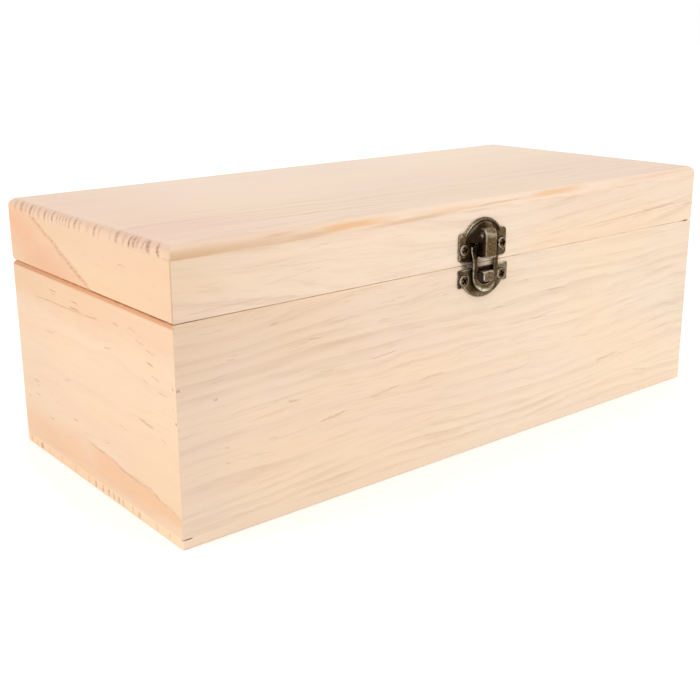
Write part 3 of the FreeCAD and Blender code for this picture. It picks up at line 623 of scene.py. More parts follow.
END_DASHES = [  # (mm from the front, height over the board's underside, lean, half width, dark)
    (7.7, 2.4, 0.50, 0.80, 0.85), (14.4, 2.6, 0.35, 1.10, 0.85), (17.6, 2.9, -0.2, 0.60, 0.45),
    (21.5, 3.0, 0.1, 0.60, 0.50), (24.0, 2.8, 0.15, 0.90, 0.70), (26.9, 2.4, -0.1, 0.60, 0.95),
    (31.0, 2.8, 0.0, 0.80, 0.30), (36.3, 2.5, 0.1, 1.10, 0.60), (41.0, 2.6, 0.2, 0.60, 0.28),
    (49.3, 2.6, 0.0, 0.50, 0.38), (53.2, 2.5, 0.15, 0.80, 0.66), (58.5, 2.7, 0.1, 0.60, 0.28),
    (65.0, 2.5, 0.1, 0.80, 0.34), (69.0, 2.6, 0.10, 0.80, 0.70), (73.6, 2.4, 0.05, 0.50, 0.82),
    (76.5, 2.4, 0.1, 0.42, 0.66), (79.2, 2.4, 0.0, 0.42, 0.66), (81.8, 2.4, 0.1, 0.42, 0.62),
    (84.5, 2.5, 0.05, 0.42, 0.62), (88.5, 2.5, 0.1, 0.60, 0.82), (92.0, 2.6, 0.1, 0.50, 0.40),
    (95.5, 2.5, 0.1, 0.60, 0.76), (101.2, 2.5, 0.2, 0.80, 0.52), (105.5, 2.6, 0.1, 0.55, 0.42),
    (109.0, 2.5, -0.1, 1.00, 0.78), (113.5, 2.8, 0.2, 0.70, 0.40), (118.0, 2.6, 0.2, 1.20, 0.60),
    (124.0, 2.8, 0.2, 0.90, 0.34),
]


def end_stripes(T, co, nrm, colour, dashes, z_mid_base, reach=2.6, amount=0.92):
    """Short dark arcs where the growth rings come out at the ends."""
    y, z = co["Y"], co["Z"]
    wob = T.mul(T.sub(T.noise(T.xyz(T.mul(y, 0.7), T.mul(z, 0.9), 9.0), 1.0, 2.0, 0.6), 0.5), 1.4)
    acc = None
    for f, h, lean, hw, dk in dashes:
        yc = -DEPTH / 2 + f
        dz = T.sub(z, z_mid_base + h)
        dx = T.absf(T.add(T.sub(T.sub(y, yc), T.mul(dz, lean)), wob))
        s = T.mul(T.step(dx, hw * 1.80, hw * 0.15), T.step(T.absf(dz), reach, reach * 0.35))
        s = T.mul(s, dk)
        acc = s if acc is None else T.mx(acc, s)
    mottle = T.noise(T.xyz(T.mul(y, 1.3), T.mul(z, 0.9), 2.0), 1.0, 3.0, 0.65)
    acc = T.mul(acc, T.step(mottle, 0.34, 0.60, 0.30, 1.0))
    mask = T.step(nrm["X"], 0.16, 0.42)
    return T.mix(T.mul(T.mul(acc, mask), amount), colour, rgb(138, 98, 72))


def top_tilt(T, co):
    return T.mul(T.m("SINE", T.mul(co["X"], 0.02)), 1.0)


def top_bands(T, co):
    """Stronger growth lines near the front edge, almost none at the back."""
    return T.step(co["Y"], 30.0, -50.0, 0.22, 1.0)


def top_extra(T, co, nrm, colour):
    x, y, z = co["X"], co["Y"], co["Z"]
    # Painted light: the rounded edges take on the tone of the rails under them, lighter to the right along the
    # front and warmer at the ends
    front = T.mul(T.step(nrm["Y"], 0.15, 0.75), T.step(y, 0.0, -20.0))
    tint = T.mix(T.step(x, -145.0, 110.0, smooth=False), (1.04, 1.03, 0.98, 1.0),
                 (1.14, 1.15, 1.13, 1.0))
    tint = T.mix(front, (1.0, 1.0, 1.0, 1.0), tint)
    side = T.step(nrm["X"], 0.30, 0.98)
    tint = T.mix(side, tint, (1.030, 0.955, 0.875, 1.0))
    colour = T.mix(1.0, colour, tint, "MULTIPLY")
    # Painted light: the back of the board is lighter, the left end a little darker, and the rounded turn onto
    # the ends darker as it turns from the light.
    far = T.mix(T.step(y, -30.0, 60.0), (1.022, 1.030, 1.032, 1.0), (1.065, 1.105, 1.120, 1.0))
    far = T.mix(T.step(x, -70.0, -135.0), far, (0.995, 0.960, 0.955, 1.0))
    colour = T.mix(1.0, colour, far, "MULTIPLY")
    back = T.mul(T.step(y, -5.0, 45.0), T.mul(T.step(x, 60.0, 5.0), T.step(x, -125.0, -90.0)))
    colour = T.mix(back, colour, T.mix(1.0, colour, (0.978, 0.962, 0.962, 1.0), "MULTIPLY"))
    turn = T.mul(T.step(nrm["X"], 0.12, 0.50), T.step(nrm["X"], 1.0, 0.70))
    colour = T.mix(T.mul(turn, 0.9), colour, T.mix(1.0, colour, (0.90, 0.875, 0.86, 1.0), "MULTIPLY"))
    left = T.mul(T.mul(side, T.step(z, 106.6, 104.0)), T.step(x, 0.0, -10.0))
    colour = heart_zone(T, co, colour, left)
    wob = T.noise(T.xyz(T.mul(x, 0.05), T.mul(y, 0.3), T.mul(z, 0.45)), 1.0, 3.0, 0.55)
    w2 = T.mul(T.sub(wob, 0.5), 1.5)
    rounded = T.step(y, -60.8, -62.6)
    # sapwood patches and a thin brown line along the rounded front edge
    for cx, hx, zc, rise, hz, st, tone in (
            (px(74), 26.0, 104.4, 0.010, 2.0, 0.76, (226, 174, 126)),
            (px(57), 13.0, 103.6, 0.010, 1.8, 0.46, (206, 164, 126)),
            (px(42), 15.0, 105.3, 0.012, 0.8, 0.42, (208, 152, 122)),
            (px(190), 24.0, 104.9, 0.024, 1.6, 0.60, (230, 176, 128)),
            (px(151), 30.0, 104.3, 0.012, 0.65, 0.42, (196, 150, 116)),
            (px(112), 26.0, 103.3, 0.004, 0.75, 0.44, (200, 158, 118)),
            (px(100), 15.0, 102.8, 0.0, 1.0, 0.32, (224, 172, 124)),
            (px(124), 26.0, 104.7, 0.0, 1.4, 0.24, (232, 176, 122)),
            (px(262), 40.0, 105.2, 0.006, 0.8, 0.34, (230, 172, 126))):
        dx = T.sub(x, cx)
        m = T.step(T.add(T.absf(dx), T.mul(T.sub(wob, 0.5), 26.0)), hx, hx * 0.1)
        dz = T.absf(T.sub(T.add(z, w2), T.add(zc, T.mul(dx, rise))))
        m = T.mul(m, T.step(dz, hz, hz * 0.25))
        colour = T.mix(T.mul(T.mul(m, rounded), st), colour, rgb(*tone))
    tan = T.mul(T.mul(T.step(x, px(84), px(4)), rounded), T.step(nrm["X"], 0.55, 0.25))
    foot = T.mul(T.step(T.add(z, T.mul(w2, 0.6)), 106.5, 103.2), T.step(z, 102.1, 102.6, 0.75, 1.0))
    colour = T.mix(T.mul(T.mul(tan, foot), 0.78), colour, rgb(202, 164, 124))
    hair = T.mul(T.step(T.absf(T.sub(z, T.add(102.5, w2))), 0.65, 0.1), rounded)
    hair = T.mul(hair, T.step(T.noise(T.xyz(T.mul(x, 0.03), 0.0, 4.0), 1.0, 2.0, 0.5), 0.36, 0.62))
    colour = T.mix(T.mul(hair, 0.26), colour, rgb(190, 140, 100))
    return end_stripes(T, co, nrm, colour, END_DASHES, TOP_Z - 5.0)


# --- base board ---------------------------------------------------------------
BASE_DASHES = [
    (9.0, 2.0, 0.0, 0.5, 0.30), (18.0, 2.0, 0.2, 0.7, 0.28), (31.0, 1.8, 0.0, 0.8, 0.62),
    (36.0, 2.0, 0.1, 0.6, 0.34), (43.5, 2.0, 0.1, 0.6, 0.55), (47.0, 2.0, 0.0, 0.7, 0.72),
    (51.0, 2.0, 0.1, 0.6, 0.66), (55.0, 2.0, 0.1, 0.6, 0.78), (60.0, 2.0, 0.0, 0.6, 0.60),
    (66.0, 2.0, 0.1, 0.6, 0.85), (72.0, 2.0, 0.1, 0.6, 0.40), (84.0, 2.0, 0.1, 0.8, 0.26),
    (97.0, 2.0, 0.0, 0.6, 0.24), (109.0, 2.0, 0.0, 0.6, 0.30), (116.5, 1.8, 0.0, 1.0, 0.85),
    (121.5, 1.8, 0.0, 0.6, 0.34), (127.0, 2.0, 0.0, 0.7, 0.45),
]


def base_extra(T, co, nrm, colour):
    x, z = co["X"], co["Z"]
    # Painted light: the front edge is a little darker at the left end and paler to the right, as on the front
    # wall.
    front = T.mul(T.step(nrm["Y"], 0.3, 0.8), T.step(co["Y"], 0.0, -20.0))
    g = T.mix(T.step(x, -145.0, 110.0, smooth=False), (0.945, 0.950, 0.965, 1.0),
              (1.04, 1.08, 1.13, 1.0))
    colour = T.mix(1.0, colour, T.mix(front, (1.0, 1.0, 1.0, 1.0), g), "MULTIPLY")
    side = T.step(nrm["X"], 0.3, 0.8)
    tone = T.mix(T.step(co["Y"], -60.0, 30.0), rgb(239, 208, 175), rgb(235, 198, 162))
    colour = T.mix(T.mul(side, 0.80), colour, tone)
    colour = end_stripes(T, co, nrm, colour, BASE_DASHES, 0.0, 1.9, 0.85)
    # short open joint under the front wall at the left corner
    crack = T.mul(T.step(z, 3.42, 3.68), T.step(x, -140.8, -141.8))
    crack = T.mul(crack, T.step(co["Y"], -64.0, -65.2))
    crack = T.mul(crack, T.step(x, -145.2, -143.2, 0.55, 1.0))
    return T.mix(T.mul(crack, 0.90), colour, rgb(96, 52, 24))


MAT = {}
MAT["front_wall"] = pine("pine_front_wall", "X", "Z", 1.7, BASE, WARM, PINK,
                         ring=5.1, tilt=front_tilt, contrast=0.095, ring_lean=0.25,
                         strokes=front_strokes(FRONT_ROWS), extra=front_wall_extra,
                         fibre=0.110, streaks=0.245, flecks=0.45, wander=(17.0, 2.6),
                         painted_glow=front_seam_painted_light)
MAT["lid_front_rail"] = pine("pine_lid_front_rail", "X", "Z", 6.2, BASE, WARM, PINK,
                             ring=5.2, tilt=rail_tilt, contrast=0.060, ring_lean=0.25,
                             strokes=front_strokes(RAIL_ROWS), extra=front_extra,
                             fibre=0.125, streaks=0.250, flecks=0.50, wander=(18.0, 3.0),
                             painted_glow=front_seam_painted_light)
L_BASE, L_WARM, L_PINK = rgb(233, 206, 179), rgb(234, 206, 174), rgb(232, 200, 175)
MAT["left_wall"] = pine("pine_left_wall", "Y", "Z", 11.4, L_BASE, L_WARM, L_PINK,
                        ring=9.0, tilt=left_tilt, contrast=0.028, ring_lean=0.2,
                        strokes=left_strokes(LEFT_ROWS), extra=left_extra, fibre=0.055,
                        streaks=0.085, flecks=0.18, painted_glow=left_seam_painted_light)
L_BASE, L_WARM, L_PINK = rgb(231, 196, 164), rgb(232, 197, 160), rgb(230, 192, 162)
MAT["lid_left_rail"] = pine("pine_lid_left_rail", "Y", "Z", 15.9, L_BASE, L_WARM, L_PINK,
                            ring=9.0, contrast=0.018, ring_lean=0.2,
                            strokes=left_strokes([(95, 11.6, 102, 12.2, 0.35, 0.14)]),
                            extra=lid_left_extra, fibre=0.030, streaks=0.030,
                            painted_glow=left_seam_painted_light)
MAT["right_wall"] = pine("pine_right_wall", "Y", "Z", 23.1, L_BASE, L_WARM, L_PINK,
                         ring=5.0, contrast=0.05, extra=right_extra, streaks=0.10,
                         fibre=0.055)
MAT["lid_right_rail"] = pine("pine_lid_right_rail", "Y", "Z", 27.7, L_BASE, L_WARM, L_PINK,
                             ring=5.4, contrast=0.04, extra=lid_right_extra, streaks=0.08,
                             fibre=0.05)
MAT["back_wall"] = pine("pine_back_wall", "X", "Z", 31.3, BASE, WARM, PINK,
                        ring=5.0, contrast=0.09, streaks=0.17, fibre=0.08, flecks=0.45,
                        wander=(18.0, 3.2))
MAT["lid_back_rail"] = pine("pine_lid_back_rail", "X", "Z", 35.8, BASE, WARM, PINK,
                            ring=4.8, contrast=0.07, streaks=0.17, fibre=0.08, flecks=0.45,
                            wander=(18.0, 3.2))
T_BASE, T_WARM, T_PINK = rgb(226, 202, 182), rgb(227, 203, 180), rgb(226, 198, 181)
MAT["lid_top_board"] = pine("pine_lid_top_board", "X", "Y", 41.5, T_BASE, T_WARM, T_PINK,
                            ring=5.6, tilt=top_tilt, contrast=0.085, ring_lean=0.4,
                            strokes=TOP_ROWS, extra=top_extra, band_mask=top_bands,
                            fibre=0.045, flecks=0.15, end_dark=0.05, streaks=0.060)
MAT["base_board"] = pine("pine_base_board", "X", "Y", 47.2, BASE, WARM, BASE,
                         ring=5.0, contrast=0.05, extra=base_extra, end_dark=0.06)
D_BASE, D_WARM, D_PINK = rgb(228, 202, 170), rgb(224, 194, 158), rgb(226, 196, 168)
MAT["long_divider"] = pine("pine_long_divider", "X", "Z", 53.6, D_BASE, D_WARM, D_PINK,
                           ring=3.8, contrast=0.07)
MAT["cross_divider"] = pine("pine_cross_divider", "Y", "Z", 58.4, D_BASE, D_WARM, D_PINK,
                            ring=3.4, contrast=0.07)


def material_for(node):
    for key in ("long_divider", "cross_divider"):
        if node.startswith(key):
            return MAT[key]
    return MAT.get(node)


# ---------------------------------------------------------------------------
# Antique bronze
# ---------------------------------------------------------------------------
def bronze(name, seed, lift=0.0, use_wear=True):
    """Mottled brown patina, worn bright along the edges, with painted highlights (one attribute),
    darker in the hollows, with painted shade on the side walls and under parts (another attribute)."""
    mat, T, bsdf = new_material(name)
    tc = T.node("ShaderNodeTexCoord")
    mp = T.node("ShaderNodeVectorMath", operation="SCALE")
    T.l.new(tc.outputs["Object"], mp.inputs[0])
    mp.inputs["Scale"].default_value = 1000.0
    P = mp.outputs[0]
    off = T.node("ShaderNodeVectorMath", operation="ADD")
    T.l.new(P, off.inputs[0])
    off.inputs[1].default_value = (seed, seed * 0.7, seed * 1.3)
    P = off.outputs[0]
    big = T.noise(P, 0.32, 3.0, 0.6)
    mid = T.noise(P, 1.1, 4.0, 0.65)
    speck = T.noise(P, 4.5, 3.0, 0.7)
    if use_wear:
        at = T.node("ShaderNodeAttribute", attribute_name="wear_and_painted_highlight")
        wear_and_painted_highlight = at.outputs["Fac"]
        ag = T.node("ShaderNodeAttribute", attribute_name="patina_and_painted_shade")
        patina_and_painted_shade = ag.outputs["Fac"]
    else:
        wear_and_painted_highlight, patina_and_painted_shade = None, None
    dark = rgb(32, 21, 13)
    brown = rgb(77, 56, 38)
    olive = rgb(114, 93, 61)
    bright = rgb(250, 238, 212)
    col = T.mix(T.step(mid, 0.34, 0.64), brown, olive)
    col = T.mix(T.mul(T.step(speck, 0.52, 0.68), 0.45), col, dark)
    col = T.mix(T.mul(T.step(big, 0.52, 0.70), 0.40), col, rgb(96, 70, 54))
    if lift:
        col = T.mix(lift, col, rgb(168, 152, 122))
    if use_wear:
        col = T.mix(T.mul(patina_and_painted_shade, T.step(mid, 0.2, 0.75, 1.0, 0.84)), col, dark)
        edge = T.mul(wear_and_painted_highlight, T.step(mid, 0.36, 0.62, 0.30, 1.0))
        edge = T.mul(edge, T.step(speck, 0.30, 0.60, 0.55, 1.0))
        col = T.mix(T.mul(edge, 0.92), col, bright)
    if use_wear:
        # Painted shade: the reflection is dimmed too where the patina and the painted shade are.
        tint = T.mix(T.mul(patina_and_painted_shade, T.inv(wear_and_painted_highlight)), (1.0, 0.96, 0.88, 1.0), (0.06, 0.045, 0.035, 1.0))
        T.put(bsdf.inputs["Specular Tint"], tint)
        T.put(bsdf.inputs["Specular IOR Level"], T.step(patina_and_painted_shade, 0.0, 0.9, 0.35, 0.0, smooth=False))
    T.put(bsdf.inputs["Base Color"], col)
    bsdf.inputs["Metallic"].default_value = 0.92
    rough = T.add(0.28, T.mul(mid, 0.24))
    if use_wear:
        rough = T.add(rough, T.mul(patina_and_painted_shade, 0.12))
        rough = T.sub(rough, T.mul(wear_and_painted_highlight, 0.10))
    T.put(bsdf.inputs["Roughness"], rough)
    bump = T.node("ShaderNodeBump")
    bump.inputs["Strength"].default_value = 0.35
    bump.inputs["Distance"].default_value = 0.00012
    T.put(bump.inputs["Height"], T.add(T.mul(mid, 0.7), T.mul(speck, 0.3)))
    T.l.new(bump.outputs[0], bsdf.inputs["Normal"])
    return mat


BRONZE = bronze("antique_bronze_plate", 3.0)
BRONZE_SCREW = bronze("antique_bronze_screw", 9.0, lift=0.15)
BRONZE_HINGE = bronze("antique_bronze_hinge", 17.0, use_wear=False)
PIN = bronze("dull_steel_pin", 25.0, lift=0.25, use_wear=False)

# ---------------------------------------------------------------------------
# Surfaces from distance fields, for the pressed metal of the latch
# ---------------------------------------------------------------------------


def smin(a, b, k):
    h = np.maximum(k - np.abs(a - b), 0.0) / k
    return np.minimum(a, b) - h * h * k * 0.25


def smax(a, b, k):
    return -smin(-a, -b, k)


def box2(x, y, cx, cy, hx, hy, r=0.0):
    qx, qy = np.abs(x - cx) - (hx - r), np.abs(y - cy) - (hy - r)
    return np.hypot(np.maximum(qx, 0), np.maximum(qy, 0)) + np.minimum(np.maximum(qx, qy), 0) - r


def slab2(d2, p, p0, p1, k):
    """A flat outline d2, given thickness from p0 to p1 with edges rounded by k."""
    return smax(d2, np.abs(p - (p0 + p1) / 2) - (p1 - p0) / 2, k)


def surface(f, lo, hi, h):
    """Naive surface nets over the grid, then pulled onto the zero level of f."""
    axes = [np.arange(a, b + h, h) for a, b in zip(lo, hi)]
    n = [len(a) for a in axes]
    X, Y, Z = np.meshgrid(*axes, indexing="ij")
    F = f(X, Y, Z)
    S = F < 0
    c = S[:-1, :-1, :-1].astype(np.int8)
    tot = np.zeros_like(c)
    for i in (0, 1):
        for j in (0, 1):
            for k in (0, 1):
                tot += S[i:n[0] - 1 + i, j:n[1] - 1 + j, k:n[2] - 1 + k].astype(np.int8)
    cell = (tot > 0) & (tot < 8)
    idx = -np.ones(cell.shape, np.int64)
    idx[cell] = np.arange(cell.sum())
    ci = np.argwhere(cell)
    acc = np.zeros((len(ci), 3))
    cnt = np.zeros(len(ci))
    corners = [(i, j, k) for i in (0, 1) for j in (0, 1) for k in (0, 1)]
    for a in corners:
        for b in corners:
            if sum(b) == sum(a) + 1 and all(y >= x for x, y in zip(a, b)):
                fa = F[ci[:, 0] + a[0], ci[:, 1] + a[1], ci[:, 2] + a[2]]
                fb = F[ci[:, 0] + b[0], ci[:, 1] + b[1], ci[:, 2] + b[2]]
                hit = (fa < 0) != (fb < 0)
                t = np.where(hit, fa / np.where(hit, fa - fb, 1.0), 0.0)
                pos = np.array(a)[None, :] + t[:, None] * (np.array(b) - np.array(a))[None, :]
                acc += np.where(hit[:, None], pos, 0.0)
                cnt += hit
    v = (ci + acc / cnt[:, None]) * h + np.array(lo)[None, :]
    faces = []
    for ax in range(3):
        o1, o2 = [(1, 2), (2, 0), (0, 1)][ax]
        sl0 = [slice(None)] * 3
        sl1 = [slice(None)] * 3
        sl0[ax], sl1[ax] = slice(0, -1), slice(1, None)
        flip = S[tuple(sl0)] != S[tuple(sl1)]
        e = np.argwhere(flip)
        e = e[(e[:, o1] > 0) & (e[:, o2] > 0)
              & (e[:, o1] < n[o1] - 1) & (e[:, o2] < n[o2] - 1)]
        inside = S[tuple(sl0)][e[:, 0], e[:, 1], e[:, 2]]

        def at(d1, d2):
            q = e.copy()
            q[:, o1] -= d1
            q[:, o2] -= d2
            return idx[q[:, 0], q[:, 1], q[:, 2]]
        quad = np.stack([at(1, 1), at(0, 1), at(0, 0), at(1, 0)], 1)
        quad[~inside] = quad[~inside][:, ::-1]
        faces.append(quad)
    faces = np.concatenate(faces)
    faces = faces[(faces >= 0).all(1)]

    def grad(p, e=None):
        e = e or h * 0.5
        g = np.zeros_like(p)
        for k in range(3):
            d = np.zeros(3)
            d[k] = e
            g[:, k] = (f(*(p + d).T) - f(*(p - d).T)) / (2 * e)
        return g
    for _ in range(3):
        g = grad(v)
        ln = np.maximum((g * g).sum(1), 0.05)
        stepv = -(f(*v.T) / ln)[:, None] * g
        s = np.linalg.norm(stepv, axis=1)
        v = v + stepv * np.minimum(1.0, 0.6 * h / np.maximum(s, 1e-9))[:, None]
    return v, faces


def curvature(f, v, e):
    c = -6.0 * f(*v.T)
    for k in range(3):
        d = np.zeros(3)
        d[k] = e
        c = c + f(*(v + d).T) + f(*(v - d).T)
    return c / (e * e)


def add_mesh(name, v, faces, mat, body, replaces, attrs=None, smooth=True):
    me = bpy.data.meshes.new(name)
    me.vertices.add(len(v))
    me.vertices.foreach_set("co", np.ascontiguousarray(v, np.float32).ravel())
    me.loops.add(faces.size)
    me.loops.foreach_set("vertex_index", faces.astype(np.int32).ravel())
    me.polygons.add(len(faces))
    me.polygons.foreach_set("loop_start", np.arange(0, faces.size, faces.shape[1], dtype=np.int32))
    me.polygons.foreach_set("loop_total", np.full(len(faces), faces.shape[1], np.int32))
    me.polygons.foreach_set("use_smooth", np.full(len(faces), smooth, bool))
    me.update(calc_edges=True)
    me.validate()
    for k, a in (attrs or {}).items():
        at = me.attributes.new(k, "FLOAT", "POINT")
        at.data.foreach_set("value", np.ascontiguousarray(a, np.float32))
    me.materials.append(mat)
    ob = bpy.data.objects.new(name, me)
    bpy.context.scene.collection.objects.link(ob)
    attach(ob, body)
    if replaces:
        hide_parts(*replaces)
    return ob


def latch_piece(name, f, lo, hi, h, xc, mat, body, replaces, patina_and_painted_shade=None, worn_and_painted_highlights=None):
    """f works in (across, out, up) mm from the seam; out is away from the wood."""
    v, faces = surface(f, lo, hi, h)
    curv = curvature(f, v, 0.22)
    wear_and_painted_highlight = np.clip((curv - 0.75) / 1.7, 0, 1)
    hollow = np.clip((-curv - 0.25) / 1.2, 0, 1)
    gr = hollow
    if patina_and_painted_shade is not None:
        e = 0.12
        g = np.stack([(f(*(v + d).T) - f(*(v - d).T)) / (2 * e)
                      for d in np.eye(3) * e], 1)
        g /= np.maximum(np.linalg.norm(g, axis=1), 1e-6)[:, None]
        gr = np.clip(np.maximum(gr, patina_and_painted_shade(v, g)), 0, 1)
    if worn_and_painted_highlights is not None:
        # Painted highlight: the worn edges are brightest where they face up, out and to the left, towards the
        # light.
        lit = np.clip(0.30 - 0.42 * g[:, 0] + 0.28 * g[:, 1] + 0.50 * g[:, 2], 0.12, 1.0)
        wear_and_painted_highlight = np.clip(worn_and_painted_highlights(v, g, wear_and_painted_highlight * lit * 1.15), 0, 1)
    w = np.stack([(xc + v[:, 0]), FRONT - v[:, 1], SEAM_Z + v[:, 2]], 1) / 1000.0
    faces = faces[:, ::-1]          # out points to -Y, which mirrors the faces
    return add_mesh(name, w, faces, mat, body, replaces,
                    {"wear_and_painted_highlight": wear_and_painted_highlight, "patina_and_painted_shade": gr})


# --- plate on the lid -----------------------------------------------------------
LP_SCREWS = [(SCREW_MID_X - SCREW_DX - LID_PLATE_X, 6.4, 24.0),
             (SCREW_MID_X + SCREW_DX - LID_PLATE_X, 6.8, 10.0)]
CP_SCREWS = [(SCREW_MID_X - SCREW_DX - CATCH_X, -6.1, 38.0),
             (SCREW_MID_X + SCREW_DX - CATCH_X, -6.2, 18.0)]


def dome_f(u, p, z):
    r = np.array([12.0, 6.2, 12.0])
    a, b, c = u / r[0], (p + 2.0) / r[1], (z - 7.0) / r[2]
    k0 = np.sqrt(a * a + b * b + c * c)
    k1 = np.sqrt((a / r[0]) ** 2 + (b / r[1]) ** 2 + (c / r[2]) ** 2)
    d = k0 * (k0 - 1.0) / np.maximum(k1, 1e-6)
    d = smax(d, np.hypot(u, z - 6.1) - 11.2, 1.2)
    return smax(d, np.abs(u) - 8.0, 1.4)


def nose_f(u, p, z, z0=2.6):
    prof = np.minimum(box2(p, z, 0.75, (z0 + 11.0) / 2, 4.75, (11.0 - z0) / 2),
                      box2(p, z, 0.75, 9.4, 4.75, 5.3, 2.7))
    return smax(prof, np.abs(u) - 3.75, 1.7)


def lid_plate_f(u, p, z):
    outline = smin(np.hypot(u, z - 6.1) - 12.4,
                   box2(u, z, 0, 7.4, 13.6, 5.8, 1.7), 1.2)
    outline = smax(outline, 1.25 + 0.026 * u - z, 0.4)
    # rolled rim round the crown, with a groove inside it
    crown = np.hypot(u, z - 6.1) - 12.4
    up = np.clip((z - 11.6) / 1.3, 0, 1)
    roll = up * (0.34 * np.exp(-((crown + 0.75) / 0.42) ** 2) - 0.12 * np.exp(-((crown + 1.6) / 0.35) ** 2))
    plate = smax(outline, np.abs(p - 0.4 - roll * 0.5) - 0.4 - roll * 0.5, 0.45)
    dome = smax(dome_f(u, p, z), 9.2 - z, 0.3)
    d = smin(plate, np.maximum(dome, -p), 0.9)
    d = smin(d, np.maximum(nose_f(u, p, z), -p), 0.7)
    # hollow from behind and from below
    pc = np.maximum(p, 1.1)
    inner = nose_f(u, pc, np.maximum(z, 4.0)) + 0.8
    inner = np.maximum(inner, 1.0 - z)
    dome_in = np.maximum(dome_f(u, pc, np.maximum(z, 10.4)) + 0.85, 8.9 - z)
    inner = np.minimum(inner, dome_in)
    d = smax(d, -inner, 0.25)
    # slots for the bar
    slot = np.hypot(np.maximum(p - PIVOT_P, 0), z - PIVOT_Z) - 0.85
    d = np.maximum(d, -np.maximum(slot, np.abs(np.abs(u) - 3.3) - 1.0))
    # dished screw holes
    for su, sz, _ in LP_SCREWS:
        r = np.hypot(u - su, z - sz)
        dish = np.maximum((r - 2.75) * 0.7 + (0.8 - p) * 0.7, 0.42 - p)
        d = smax(d, -dish, 0.15)
        d = np.maximum(d, -(r - 1.02))
    return d


def lid_plate_patina_and_painted_shade(v, g):
    u, p, z = v.T
    # Painted shade on the side walls, over the dome, behind the plate, beside and under the nose and dome, and
    # in crescents round the screws; darker also in the groove inside the rim, low down and at the foot of the
    # left ear.
    side = np.clip((np.abs(g[:, 0]) - 0.45) / 0.35, 0, 1) * np.clip((p - 1.0) / 0.5, 0, 1)
    dome = np.clip((10.9 - np.hypot(u, z - 6.1)) / 0.6, 0, 1) * np.clip((z - 1.6) / 0.8, 0, 1) \
        * np.clip((-2.9 - u) / 0.5, 0, 1) + \
        np.clip((p - 1.05) / 0.4, 0, 1) * np.clip((8.2 - u) / 0.5, 0, 1) \
        * np.clip((u - 3.4) / 0.5, 0, 1) * np.clip((z - 8.8) / 0.6, 0, 1) * 0.6
    over = np.clip((10.9 - np.hypot(u, z - 6.1)) / 0.6, 0, 1) * np.clip((z - 13.0) / 0.8, 0, 1) \
        * np.clip((1.6 - u) / 2.4, 0, 1) * np.clip((3.4 - p) / 0.4, 0, 1) * 0.95
    back = np.clip((0.4 - p) / 0.3, 0, 1) * 0.6
    low = np.exp(-((z - 1.8) / 1.2) ** 2) * 0.25
    near = np.clip((9.6 - np.abs(u)) / 1.5, 0, 1) * np.clip((9.8 - z) / 0.8, 0, 1) * (p < 1.0) * 0.75
    groove = np.exp(-((np.hypot(u, z - 6.1) - 11.1) / 0.34) ** 2) * np.clip((z - 11.2) / 1.2, 0, 1) * 0.8
    foot = np.clip((4.6 - z) / 1.8, 0, 1) * np.clip((-6.0 - u) / 1.0, 0, 1) \
        * np.clip((u + 13.0) / 0.7, 0, 1) * 0.92
    moons = np.zeros_like(u)
    for su, sz, _ in LP_SCREWS:
        r = np.hypot(u - su, z - sz)
        moons = np.maximum(moons, np.exp(-((r - 2.95) / 0.36) ** 2)
                           * np.clip((su - u) / 1.6 + 0.5, 0, 1) * 0.80)
    ledge = np.exp(-((z - 9.3) / 0.7) ** 2) * np.clip((np.abs(u) - 3.6) / 0.5, 0, 1) * (p > 0.85)
    return np.maximum.reduce([side, dome * 0.97, over, back, low, near, groove, ledge, foot, moons])


